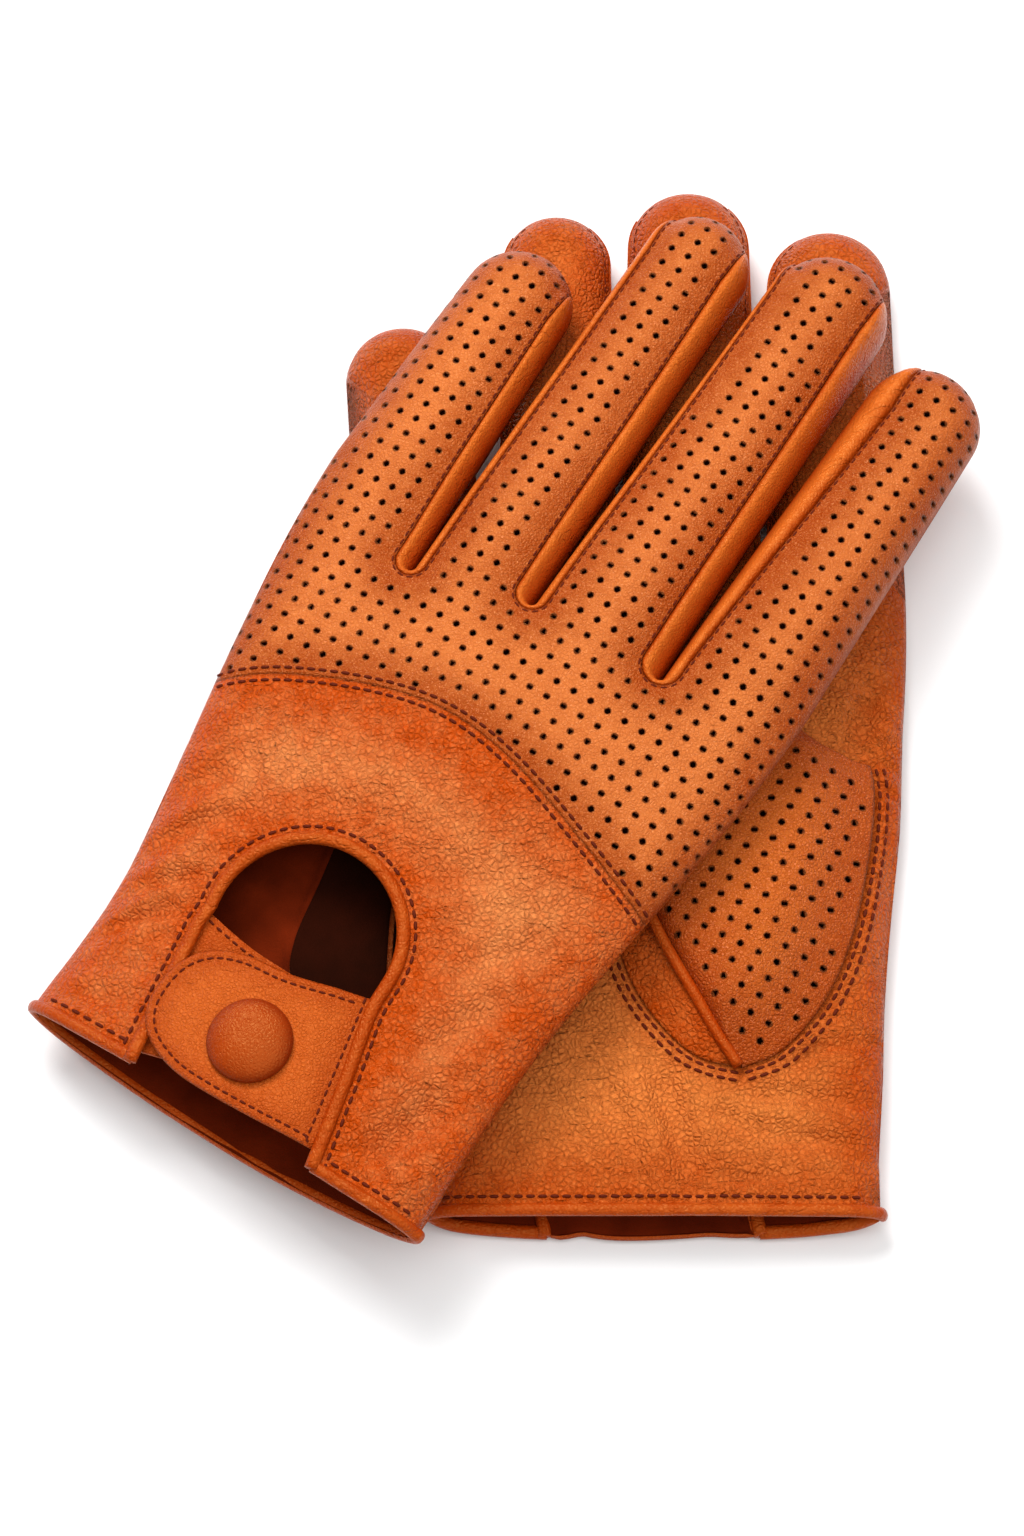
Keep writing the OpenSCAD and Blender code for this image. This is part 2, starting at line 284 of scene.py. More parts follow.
def outer_edges(fingers):
    """The edges that the back panel wraps round: the hand's sides and the four tips."""
    little, ring, middle, index = fingers
    ends = [
        (seam_angle(before, gap.top_seams[0]), seam_angle(after, gap.top_seams[1]))
        for gap, before, after in zip(GAPS, fingers, fingers[1:])
    ]
    left = chain(
        [(little_side(y), y) for y in np.arange(-6, HAND_TOP, 2.0)],
        line((little_side(HAND_TOP), HAND_TOP), tip_side(little, -1)),
        tip(little, 180, ends[0][0]),
    )
    right = chain(
        tip(index, ends[2][1], 0),
        line(tip_side(index, 1), (index_side(HAND_TOP), HAND_TOP)),
        [(index_side(y), y) for y in np.arange(HAND_TOP, -6.1, -2.0)],
    )
    return [left, tip(ring, ends[0][1], ends[1][0]), tip(middle, ends[1][1], ends[2][0]), right]


def whole_rim(fingers):
    """The closed outline of the glove, down each side of every gap."""
    runs = [[(little_side(y), y) for y in np.arange(0, HAND_TOP, 2.0)]]
    for gap, before, after in zip(GAPS, fingers, fingers[1:]):
        runs.append(tip(before))
        runs.append(line(tip_side(before, 1), slit_foot(gap, -1)))
        runs.append(line(slit_foot(gap, 1), tip_side(after, -1)))
    runs.append(tip(fingers[-1]))
    runs.append([(index_side(y), y) for y in np.arange(HAND_TOP, -0.1, -2.0)])
    runs.append(line((index_side(0), 0), (little_side(0), 0))[1:-1])
    return chain(*runs)


def gap_seam(gap, before, after):
    """The back seam round one gap: down the finger before it, round the foot, up the one after."""
    foot_a, foot_b = gap.foot_seams
    top_a, top_b = gap.top_seams
    r = (foot_b - foot_a) / 2
    mid = (foot_a + foot_b) / 2
    straight_from = gap.foot + r + 3

    def top(f, seam_x, side):
        dx = min(0.98, abs(seam_x - f.tip_x) / f.tip_r)
        rise = f.tip_r * math.sqrt(1 - dx * dx)
        return (f.tip_x + side * dx * f.tip_r, f.tip_y - f.tip_r + rise)

    a, b = top(before, top_a, 1), top(after, top_b, -1)
    turn_a = (top_a, before.tip_y - before.tip_r - 2)
    turn_b = (top_b, after.tip_y - after.tip_r - 2)
    down = chain(bend(a, (top_a + 0.6, a[1] - 5), turn_a), line(turn_a, (foot_a, straight_from)))
    up = chain(line((foot_b, straight_from), turn_b), bend(turn_b, (top_b - 0.6, b[1] - 5), b))
    return chain(down, arc(mid, gap.foot + r, r, 180, 360, 0.9), up)


def palm_seam(gap, before, after):
    """The palm's seam round one gap, just inside the fingers' edges."""
    inset = 1.5
    r = inset + 0.4
    foot = gap.foot + SLIT_ABOVE_FOOT + 1
    down = chain(
        tip(before, 52, 0, -inset),
        line(tip_side(before, 1, -inset), (gap.x - inset - 0.4, foot)),
    )
    up = chain(
        line((gap.x + inset + 0.4, foot), tip_side(after, -1, inset)),
        tip(after, 180, 128, -inset),
    )
    return chain(down, arc(gap.x, foot, r, 180, 360, 0.6), up)


# ---------------------------------------------------------------- distances

def nearest(points, path, closed=False):
    """For each point: distance to a path, and the nearest place on it."""
    points, path = plan(points), plan(path)
    a = path if closed else path[:-1]
    b = np.roll(path, -1, 0) if closed else path[1:]
    d = b - a
    length = (d * d).sum(1)
    best = np.full(len(points), 1e9)
    place = np.zeros((len(points), 2))
    for part in chunks(len(points)):
        q = points[part]
        t = ((q[:, None, :] - a[None]) * d[None]).sum(2) / length[None]
        near = a[None] + np.clip(t, 0, 1)[:, :, None] * d[None]
        gap = np.linalg.norm(q[:, None, :] - near, axis=2)
        k = gap.argmin(1)
        rows = np.arange(len(q))
        best[part] = gap[rows, k]
        place[part] = near[rows, k]
    return best, place


def nearest_of(points, paths):
    best, place = nearest(points, paths[0])
    for path in paths[1:]:
        d, p = nearest(points, path)
        closer = d < best
        best[closer], place[closer] = d[closer], p[closer]
    return best, place


def inside(points, polygon):
    """Which points lie inside a closed polygon."""
    pts, a = plan(points), plan(polygon)
    b = np.roll(a, 1, 0)
    run = np.where(a[:, 1] == b[:, 1], 1e-12, b[:, 1] - a[:, 1])
    out = np.zeros(len(pts), bool)
    for part in chunks(len(pts)):
        x, y = pts[part, 0:1], pts[part, 1:2]
        spans = (a[None, :, 1] > y) != (b[None, :, 1] > y)
        across = (b[None, :, 0] - a[None, :, 0]) * (y - a[None, :, 1]) / run[None]
        out[part] = (spans & (x < across + a[None, :, 0])).sum(1) % 2 == 1
    return out


# ---------------------------------------------------------------- surfaces of a glove

def dome(d, r):
    """Height share, 0 at an edge and 1 from r inside it, as a quarter round."""
    t = np.clip(d / r, 0, 1)
    return np.sqrt(1 - (1 - t) ** 2)


def pillow(x, y, drop):
    """How far the flat faces fall away towards the sides of the hand."""
    half = np.where(x < 0, 60.0, 54.0)
    return drop * np.clip(np.abs(x) / half, 0, 1) ** 2.6 * smooth(175, 130, y)


def along_finger(f, x, y):
    """1 on the middle line of a finger, 0 at its sides."""
    mid = f.root_x + (f.tip_x - f.root_x) * smooth(120, 200, y)
    return np.clip(1 - ((x - mid) / (f.half + 1)) ** 2, 0, 1)


def back_height(g, points):
    """Height of the back's outer face over plan points."""
    p = plan(points)
    d, _ = nearest_of(p, g.outer)
    x, y = p[:, 0], p[:, 1]
    crown = g.thick - 0.1 - pillow(x, y, BACK_FALL)
    if not g.mirrored:
        crown = crown + HAND_CROWN * np.cos(x / 38) * smooth(48, 95, y) * smooth(190, 120, y)
        for f in g.fingers:
            crown = crown + FINGER_CROWN * along_finger(f, x, y) * smooth(118, 150, y)
    z = g.mid + (crown - g.mid) * dome(d, EDGE_R)
    for seam in g.seams:
        from_seam, _ = nearest(p, seam)
        z = z - SEAM_GROOVE * bell(from_seam, SEAM_GROOVE_HALF) * dome(d, EDGE_R)
    return z + folds(g, p, 1)


def palm_height(g, points):
    """Height of the palm's outer face, which is the lower one while the glove lies back up."""
    p = plan(points)
    d, _ = nearest(p, g.rim, closed=True)
    x, y = p[:, 0], p[:, 1]
    at_mouth = dome(np.clip(CUFF_HALF - np.abs(x), 0, 99), EDGE_R)
    share = np.where(y < 12, at_mouth, dome(d, EDGE_R))
    z = g.mid - (g.mid - pillow(x, y, PALM_FALL)) * share
    for f in g.fingers:
        z = z - PALM_FINGER_CROWN * along_finger(f, x, y) * smooth(128, 160, y) * share
    return z + folds(g, p, -1)


# Folds in the leather: the points each runs through, its half width and its depth.
BACK_FOLDS = [
    ([(-45.5, 31.5), (-38, 38.6), (-31.5, 42.8)], 1.5, 0.75),
    ([(-45.0, 19.5), (-39, 28.2), (-32.0, 34.0)], 1.4, 0.75),
    ([(-41.5, 23.0), (-36.4, 34.0), (-33.0, 43.6)], 1.1, 0.45),
    ([(-48.0, 38.5), (-40, 50.5), (-31.0, 59.5)], 1.9, 0.65),
    ([(-44.5, 6.0), (-36, 9.0), (-27.5, 12.8)], 1.8, 0.55),
    ([(-43.0, 46.0), (-36.3, 59.7)], 1.4, 0.4),
    ([(-50.0, 52.0), (-40.0, 66.0)], 2.4, 0.5),
    ([(31.0, 7.0), (34.6, 15.3), (38.5, 29.0)], 4.0, 1.5),
    ([(28.7, 31.3), (37.4, 54.2)], 3.0, 0.7),
    ([(26.4, 52.3), (38.7, 67.9)], 3.0, 0.6),
    ([(8.0, 66.0), (24.0, 74.0)], 3.4, 0.5),
    ([(-22.0, 66.0), (-6.0, 72.0)], 3.4, 0.4),
]
PALM_FOLDS = [
    ([(1.0, 31.2), (3.5, 23.0), (6.7, 10.7), (8.7, 5.5)], 3.0, 1.3),
    ([(27.0, 30.5), (34.0, 35.6), (41.0, 37.2), (50.0, 37.4)], 1.3, 0.9),
    ([(28.4, 15.6), (49.0, 16.5)], 1.3, 0.5),
    ([(8.7, 7.2), (29.7, 8.4)], 1.2, 0.45),
    ([(17.8, 24.9), (30.6, 25.4), (48.0, 24.1)], 1.6, 0.6),
    ([(9.4, 22.8), (21.9, 18.4), (46.0, 11.9)], 2.0, 0.5),
    ([(45.5, 99.0), (55.0, 101.3)], 1.0, 0.9),
    ([(46.3, 96.6), (55.4, 91.6)], 1.0, 0.7),
    ([(46.9, 100.6), (55.6, 108.0)], 1.2, 0.7),
    ([(44.2, 103.8), (50.1, 117.1)], 2.6, 1.3),
    ([(49.5, 88.0), (51.0, 70.0), (49.0, 50.0)], 3.0, 0.6),
    ([(-14.0, 32.0), (-6.0, 20.0), (-4.0, 8.0)], 3.0, 0.6),
    ([(-8.0, 40.0), (-20.0, 46.0), (-36.0, 48.0)], 2.4, 0.6),
]
FOLD_DEPTH = 1.5
WAVE_DEPTH = 0.32


def folds(g, p, face):
    """Folds, soft waves and the sag at the cuff's mouth, for one face of one glove."""
    x, y = p[:, 0], p[:, 1]
    out = np.zeros(len(p))
    for path, wide, deep in BACK_FOLDS if face > 0 else PALM_FOLDS:
        path = np.array(path)
        d, near = nearest(p, path)
        from_start = np.linalg.norm(near - path[0], axis=1)
        from_end = np.linalg.norm(near - path[-1], axis=1)
        fade = 0.25 + 0.75 * smooth(0, 5, np.minimum(from_start, from_end))
        lie = bell(d, wide) - 0.45 * bell(d - 2.1 * wide, wide)
        out = out - FOLD_DEPTH * deep * lie * fade * face
    bent_x = x / 9.1 + 0.7 * np.sin(y / 13.0) + 1.3
    bent_y = y / 11.3 + 0.9 * np.sin(x / 15.0)
    hand = smooth(-2, 6, y) * smooth(HAND_TOP, 100, y)
    out = out + face * WAVE_DEPTH * np.sin(bent_x) * np.sin(bent_y) * hand
    if g.mirrored and face > 0:
        out = -np.abs(out)
    if face < 0:
        sag = np.clip(1 - (x / CUFF_HALF) ** 2, 0, 1) * smooth(70, 0, y)
        out = out - g.cuff_sag * sag
        lobe, _ = nearest(p, chain(U_SEAM, g.gusset))
        out = out + 0.6 * bell(lobe, 0.9) - 0.35 * bell(lobe - 2.1, 1.0)
        for seam in g.palm_seams:
            d, _ = nearest(p, seam)
            out = out + 0.55 * bell(d, 0.8)
    return out


# ---------------------------------------------------------------- mesh building

def new_object(name, verts, faces, materials=()):
    """A mesh object in the row frame, with smooth faces and its materials."""
    mesh = bpy.data.meshes.new(name)
    mesh.from_pydata([tuple(v) for v in verts], [], [tuple(f) for f in faces])
    mesh.update()
    mesh.polygons.foreach_set("use_smooth", [True] * len(mesh.polygons))
    obj = bpy.data.objects.new(name, mesh)
    bpy.context.scene.collection.objects.link(obj)
    for m in materials:
        mesh.materials.append(m)
    return obj


def grid_points(polygon, step):
    """A staggered grid of points inside a polygon."""
    poly = plan(polygon)
    lo, hi = poly.min(0), poly.max(0)
    rows = []
    for k, y in enumerate(np.arange(lo[1] + step / 2, hi[1], step * 0.87)):
        rows += [(x, y) for x in np.arange(lo[0] + (k % 2) * step / 2, hi[0], step)]
    pts = np.array(rows)
    return pts[inside(pts, polygon)]


def edge_rows(paths, polygon, edge_r):
    """Rows of points beside rounded edges, closer together towards the edge."""
    rows = []
    for share in EDGE_SHARES:
        for path in paths:
            out = sideways(path)
            for side in (1, -1):
                beside = plan(path) + out * side * edge_r * share
                d, _ = nearest_of(beside, paths)
                rows.append(beside[(d > edge_r * share * 0.97) & inside(beside, polygon)])
    return rows


def seam_rows(path, polygon):
    """Rows of points on and beside a seam, so that a groove there is sharp."""
    out = sideways(path)
    rows = np.concatenate([plan(path) + out * o for o in SEAM_ROWS])
    return rows[inside(rows, polygon)]


def clear_of_holes(points, centres, radii, polygon):
    """Clears points away from the holes, and puts an even collar of points round each."""
    keep = np.ones(len(points), bool)
    for part in chunks(len(points)):
        gap = np.linalg.norm(points[part][:, None] - centres[None], axis=2) - radii[None]
        keep[part] = gap.min(1) > HOLE_CLEAR
    collars = centres[:, None] + (radii[:, None, None] + COLLAR) * circle(8, 0.5)[None]
    collars = collars.reshape(-1, 2)
    d, _ = nearest(collars, polygon, closed=True)
    return np.concatenate([points[keep], collars[(d > 0.3) & inside(collars, polygon)]])


def sheet_points(polygon, edge_paths, step, edge_r, seams, cuts, rings):
    """The loose points of a sheet, between its outline, its holes and its cuts."""
    points = grid_points(polygon, step)
    extra = []
    if edge_paths:
        d, _ = nearest_of(points, edge_paths)
        points = points[d > edge_r * 0.95]
        extra += edge_rows(edge_paths, polygon, edge_r)
    for path in seams:
        if len(points):
            d, _ = nearest(points, path)
            points = points[d > SEAM_CLEAR]
        extra.append(seam_rows(path, polygon))
    points = np.concatenate([points] + [rows for rows in extra if len(rows)])
    if len(points):
        d, _ = nearest(points, polygon, closed=True)
        points = points[d > OUTLINE_CLEAR]
    if rings:
        points = clear_of_holes(points, *rings, polygon)
    for cut in cuts:
        d, _ = nearest(points, cut, closed=True)
        points = points[(d > OUTLINE_CLEAR) & ~inside(points, cut)]
    return points


def open_triangles(out, tris, polygon, cuts, rings):
    """Keeps the triangles outside the holes and cuts, all facing up in local z."""
    middle = out[tris].mean(1)
    keep = inside(middle, polygon)
    if rings:
        centres, radii = rings
        for part in chunks(len(middle)):
            gap = np.linalg.norm(middle[part][:, None] - centres[None], axis=2)
            k = gap.argmin(1)
            keep[part] &= ~(gap[np.arange(len(k)), k] < radii[k] * 0.55)
    for cut in cuts:
        lo, hi = np.min(cut, 0), np.max(cut, 0)
        near = np.where(keep & (middle >= lo).all(1) & (middle <= hi).all(1))[0]
        if len(near):
            keep[near[inside(middle[near], cut)]] = False
    tris = tris[keep]
    a, b, c = out[tris[:, 0]], out[tris[:, 1]], out[tris[:, 2]]
    u, v = b - a, c - a
    area = u[:, 0] * v[:, 1] - u[:, 1] * v[:, 0]
    tris = tris[np.abs(area) > LEAST_AREA]
    area = area[np.abs(area) > LEAST_AREA]
    tris[area < 0] = tris[area < 0][:, ::-1]
    return tris


def sheet_mesh(
    polygon, height, edge_paths, step=2.2, holes=(), edge_r=EDGE_R, seams=(), cuts=(), dark=(),
):
    """Triangulates a plan polygon over a height function, with finer rows near its round edges.

    holes are closed loops, which become real holes; seams get close rows of points, and along dark
    ones a painted shadow is laid. Returns vertices, triangles and each vertex's share of the dark edge
    colour: a hole's raw edge with painted shade, and painted shadow along the dark seams.
    """
    polygon = [tuple(p[:2]) for p in polygon]
    rings = None
    if holes:
        centres = np.array([np.mean(h, 0) for h in holes])
        spokes = [np.linalg.norm(np.array(h) - c, axis=1) for h, c in zip(holes, centres)]
        rings = (centres, np.array([np.max(s) for s in spokes]))
    points = sheet_points(polygon, edge_paths, step, edge_r, seams, cuts, rings)
    coords, edges, rim = [], [], []
    for loop, raw in [(polygon, 0.0)] + [(h, 1.0) for h in holes] + [(c, 0.0) for c in cuts]:
        base = len(coords)
        coords += [tuple(p) for p in loop]
        edges += [(base + i, base + (i + 1) % len(loop)) for i in range(len(loop))]
        rim += [raw] * len(loop)
    coords += [tuple(p) for p in points]
    rim += [0.0] * len(points)
    result = geometry.delaunay_2d_cdt([Vector(c) for c in coords], edges, [], 0, 1e-5, True)
    out = np.array([tuple(v) for v in result[0]])
    share = np.array([max([rim[i] for i in ids], default=0.0) for ids in result[3]])
    tris = np.array([f for f in result[2] if len(f) == 3])
    tris = open_triangles(out, tris, polygon, cuts, rings)
    used = np.unique(tris)
    index = np.full(len(out), -1)
    index[used] = np.arange(len(used))
    out, share, tris = out[used], share[used], index[tris]
    # Painted shadow: a dark line along each dark seam.
    for path in dark:
        d, _ = nearest(out, path)
        share = np.maximum(share, np.where(d < 0.06, 0.86, 0.0))
    return np.column_stack([out, height(out)]), tris, share


def add_values(obj, name, values):
    """Stores one number a vertex, for the leather's shader."""
    layer = obj.data.attributes.new(name, "FLOAT", "POINT")
    layer.data.foreach_set("value", np.asarray(values, np.float32))


def panel(g, name, polygon, height, face, materials, worn_reach=22.0, **shape):
    """A leather panel of one glove: a sheet with real thickness, its inner side suede."""
    verts, tris, share = sheet_mesh(polygon, height, **shape)
    if (face < 0) != g.mirrored:
        tris = tris[:, ::-1]
    obj = new_object(name, g.place(verts), tris, materials)
    # The dark edge colour: raw hole edges with painted shade, and painted seam shadow.
    add_values(obj, "rim", share)
    # Painted light: values lighter towards the panel's middle, with painted shade at its edges and
    # beside its seams.
    edge, _ = nearest(verts, polygon, closed=True)
    worn = smooth(0.5, worn_reach, edge)
    for path in shape.get("seams", ()):
        d, _ = nearest(verts, path)
        worn = worn * (1 - 0.5 * bell(d, 4.5))
    add_values(obj, "worn", worn)
    thicken(obj, LEATHER)
    return obj


def thicken(obj, thickness):
    """Gives a sheet its thickness, and makes the result the object's own mesh."""
    solid = obj.modifiers.new("thickness", "SOLIDIFY")
    solid.thickness = thickness * MM
    solid.offset = -1
    solid.material_offset = 1
    graph = bpy.context.evaluated_depsgraph_get()
    graph.update()
    mesh = bpy.data.meshes.new_from_object(obj.evaluated_get(graph))
    obj.modifiers.clear()
    obj.data = mesh


# ---------------------------------------------------------------- holes

def punched_holes(g, polygon, keep_off):
    """Loops of the punched holes, on a lattice that wraps round the panel's outer edges."""
    lo, hi = np.min(polygon, 0) - 4, np.max(polygon, 0) + 4
    lattice = np.array([
        (x, y)
        for x in np.arange(lo[0], hi[0], HOLE_PITCH[0])
        for y in np.arange(lo[1], hi[1], HOLE_PITCH[1])
    ])
    centres = wrap(g, lattice)
    ok = inside(centres, polygon)
    d, _ = nearest(centres, polygon, closed=True)
    outer_d, _ = nearest_of(centres, g.outer)
    near_outer = outer_d < d + 0.3
    ok &= (d > SEAM_TO_HOLE) | (near_outer & (d > 0.25))
    for path in keep_off:
        from_seam, _ = nearest(centres, path)
        ok &= from_seam > SEAM_TO_HOLE
    kept = lattice[ok]
    flat = (kept[:, None] + HOLE_R * circle(HOLE_SIDES)[None]).reshape(-1, 2)
    rolled = wrap(g, flat)
    good = inside(rolled, polygon).reshape(len(kept), -1).all(1)
    return list(rolled.reshape(len(kept), -1, 2)[good])


def wrap(g, points):
    """Flat pattern places to plan places, rolled over the outer edges."""
    d, near = nearest_of(points, g.outer)
    within = inside(points, g.rim)
    signed = np.where(within, d, -d)
    flat = signed + EDGE_R * (math.pi / 2 - 1)
    theta = np.clip(flat, 0, None) / EDGE_R
    rolled = EDGE_R * (1 - np.cos(np.minimum(theta, math.pi / 2)))
    plan_d = np.where(theta < math.pi / 2, rolled, signed)
    out = near + unit((points - near) * np.where(within, 1, -1)[:, None]) * plan_d[:, None]
    out[flat <= 0] = points[flat <= 0]
    return out


def thumb_holes(outline):
    """Punched holes of the thumb, on a lattice along it."""
    lean = math.radians(THUMB_LEAN)
    c, s = math.cos(lean), math.sin(lean)
    count = np.arange(-30, 40)
    across, along = np.meshgrid(count * HOLE_PITCH[0], count * HOLE_PITCH[1])
    u, v = across.ravel(), along.ravel()
    places = np.column_stack([u * c - v * s, 30 + u * s + v * c])
    near, _ = nearest(places, outline, closed=True)
    kept = places[(near > THUMB_SEAM_TO_HOLE) & inside(places, outline)]
    return list(kept[:, None] + HOLE_R * circle(HOLE_SIDES)[None])


# ---------------------------------------------------------------- paths on a glove

def curve(points, step=1.5):
    """A smooth path through a few points."""
    p = np.array(points, float)
    ends = np.vstack([2 * p[0] - p[1], p, 2 * p[-1] - p[-2]])
    out = []
    for i in range(1, len(ends) - 2):
        a, b, c, d = ends[i - 1:i + 3]
        slope = c - a
        turn = 2 * a - 5 * b + 4 * c - d
        twist = 3 * b - a - 3 * c + d
        n = max(2, int(np.linalg.norm(c - b) / step))
        for t in np.arange(n) / n:
            out.append(0.5 * (2 * b + slope * t + turn * t * t + twist * t ** 3))
    out.append(p[-1])
    return [tuple(q) for q in out]


def resample(path, n):
    """n points, evenly spaced along a path."""
    p = np.array(path, float)
    s = np.concatenate([[0], np.cumsum(np.linalg.norm(np.diff(p, axis=0), axis=1))])
    at = np.linspace(0, s[-1], n)
    return np.stack([np.interp(at, s, p[:, k]) for k in range(p.shape[1])], 1)


def path_length(path):
    return float(np.linalg.norm(np.diff(np.array(path, float), axis=0), axis=1).sum())


def offset(path, d):
    """The path moved sideways, to the right of its direction for d above 0."""
    return [tuple(q) for q in plan(path) + sideways(path) * d]


def keyhole_edge():
    """The wrist opening's edge, up its left side from the cuff, over the window and down again."""
    start = math.degrees(math.asin((SLIT_TOP_Y - WINDOW_Y) / WINDOW_R))
    right = [(WINDOW_X + WINDOW_R, WINDOW_Y), (14.3, 34), (17.6, 20), (SLIT_RIGHT_FOOT, 0)]
    return chain(
        line((SLIT_LEFT_FOOT, 0), (SLIT_LEFT_TOP, 33)),
        arc(WINDOW_X, WINDOW_Y, WINDOW_R, 180 - start, 0),
        curve(right),
    )


def strap_outline(g):
    """The strap's edge. The lower glove's lies nearer the cuff's edge and fills its slit."""
    if not g.mirrored:
        return STRAP_SHAPE
    out = []
    for x, y in STRAP_SHAPE:
        free_end, root = smooth(-14, -22, x), smooth(10, 20, x)
        drop = 2.4 * smooth(14, 3, y) + 3.6 * smooth(14, 5, y) * free_end
        drop = drop + 1.2 * smooth(14, 4, y) * root
        spread = 0.8 * smooth(15, 20, x) - 1.0 * smooth(-18, -23, x)
        out.append((x + float(smooth(10, 4, y) * spread), y - float(drop)))
    return out


KNUCKLE = curve([
    (-55.7, 80.0), (-42.6, 88.4), (-24.4, 95.6), (-7.3, 98.6), (10.5, 96.4), (32.6, 89.2), (52.0, 82.0),
])
KEYHOLE = keyhole_edge()
STRAP_ROOT = [(20.6, 3.6), (14.1, 37.3)]
STRAP_SHAPE = chain(
    curve([
        STRAP_ROOT[1], (7, 35.3), (-4, 32.4), (-14, 31.3), (-21, 28.6), (-25.2, 23.8), (-26.6, 17.6),
        (-25.9, 11.2), (-22.4, 6.3), (-16, 3.2), (-8, 2.0), (6, 2.4), STRAP_ROOT[0],
    ]),
    line(*STRAP_ROOT),
)[:-1]
TAB_SHAPE = chain(
    curve([(-28.6, 36.2), (-15.0, 33.8), (-3.0, 33.2)]),
    line((-3.0, 33.2), (4, 25)),
    arc(0, 17, 8, 90, -90),
    line((0, 9), (-23, 3.0)),
)
THUMB_ROOT = (18.6, 31.2)
THUMB_CROOK = (47.2, 99.2)
U_SEAM = curve([
    THUMB_CROOK, (47.6, 93.4), (45.3, 77.4), (41.6, 60.3), (35.6, 45.7), (27.0, 35.0), THUMB_ROOT,
])
GUSSET_LOWER = curve([THUMB_ROOT, (8.4, 34.3), (-0.4, 43.3), (-6.0, 54.0), (-9.5, 70.0)])
GUSSET_UPPER = curve([
    THUMB_ROOT, (5.0, 31.6), (-6.0, 34.0), (-10.8, 42.0), (-13.4, 56.0), (-16.2, 70.0),
])
WELT = curve([(18.6, 31.8), (14.2, 38.6), (9.6, 46.6), (2.6, 59.3), (-3.6, 74.0), (-6.0, 88.0)])
THUMB_TOP = curve([THUMB_CROOK, (41.2, 101.2), (32.7, 107.2), (24.0, 117.5), (18.0, 124.0)])
THUMB_TIP = curve([
    (18.0, 124.0), (10.5, 127.5), (2.0, 123.5), (-3.6, 113.0), (-6.0, 100.0), (-6.0, 88.0),
])


# ---------------------------------------------------------------- swept and stitched detail

def ring_faces(start, rings, sides):
    """Faces between rings of vertices, ring after ring from a start index."""
    faces = []
    for i in range(rings - 1):
        a = start + i * sides
        b = a + sides
        for k in range(sides):
            j = (k + 1) % sides
            faces.append((a + k, a + j, b + j, b + k))
    return faces


def end_faces(start, rings, sides):
    """The two closed ends of a run of rings."""
    last = start + (rings - 1) * sides
    return [tuple(start + k for k in range(sides))[::-1], tuple(last + k for k in range(sides))]


def tube(g, name, path, normals, wide, high, materials, sides=12):
    """A rolled leather edge swept along local points, wide across and high along the normals."""
    p = np.array(path, float)
    t = tangents(p)
    n = np.array(normals, float)
    n = unit(n - (n * t).sum(1)[:, None] * t)
    b = np.cross(t, n)
    rows = [p + n * high * y + b * wide * x for x, y in circle(sides)]
    verts = np.stack(rows, 1).reshape(-1, 3)
    faces = ring_faces(0, len(p), sides) + end_faces(0, len(p), sides)
    if g.mirrored:
        faces = [f[::-1] for f in faces]
    return new_object(name, g.place(verts), faces, materials)


Stitch = namedtuple("Stitch", "pitch length wide high lift")
SEWN = Stitch(2.5, 1.85, 0.38, 0.32, 0.16)
FINE = Stitch(2.1, 1.5, 0.28, 0.26, 0.16)
IN_GROOVE = Stitch(2.2, 1.6, 0.26, 0.24, 0.0)
PALM_GROOVE = Stitch(2.2, 1.6, 0.24, 0.22, 0.0)
# Places along one stitch, as shares of its length, and how thick it is there.
STITCH_RINGS = [(-0.5, 0.25), (-0.38, 0.85), (0, 1.0), (0.38, 0.85), (0.5, 0.25)]
STITCH_SIDES = 6


def stitches(g, name, runs, height, up, kind):
    """Rows of separate sewn stitches that lie on a surface of the glove."""
    verts, faces = [], []
    around = circle(STITCH_SIDES)
    for run in runs:
        n = max(2, int(path_length(run) / kind.pitch))
        p = resample(run, n * 2 + 1)
        p = np.column_stack([p[:, :2], height(p) + up * kind.lift])
        for i in range(1, n * 2, 2):
            t = p[i + 1] - p[i - 1]
            t /= np.linalg.norm(t) + TINY
            side = np.cross(t, (0, 0, up))
            side /= np.linalg.norm(side) + TINY
            rise = np.cross(side, t)
            faces += ring_faces(len(verts), len(STITCH_RINGS), STITCH_SIDES)
            faces += end_faces(len(verts), len(STITCH_RINGS), STITCH_SIDES)
            for along, share in STITCH_RINGS:
                middle = p[i] + t * along * kind.length - rise * abs(along) * 0.5 * kind.high
                for x, y in around * share:
                    verts.append(middle + side * kind.wide * x + rise * kind.high * y)
    obj = new_object(name, g.place(verts), faces, [THREAD])
    bm = bmesh.new()
    bm.from_mesh(obj.data)
    bmesh.ops.recalc_face_normals(bm, faces=bm.faces)
    bm.to_mesh(obj.data)
    bm.free()
    return obj


# ---------------------------------------------------------------- materials

def srgb(r, g, b):
    def linear(v):
        v /= 255
        return v / 12.92 if v <= 0.04045 else ((v + 0.055) / 1.055) ** 2.4
    return (linear(r), linear(g), linear(b), 1.0)


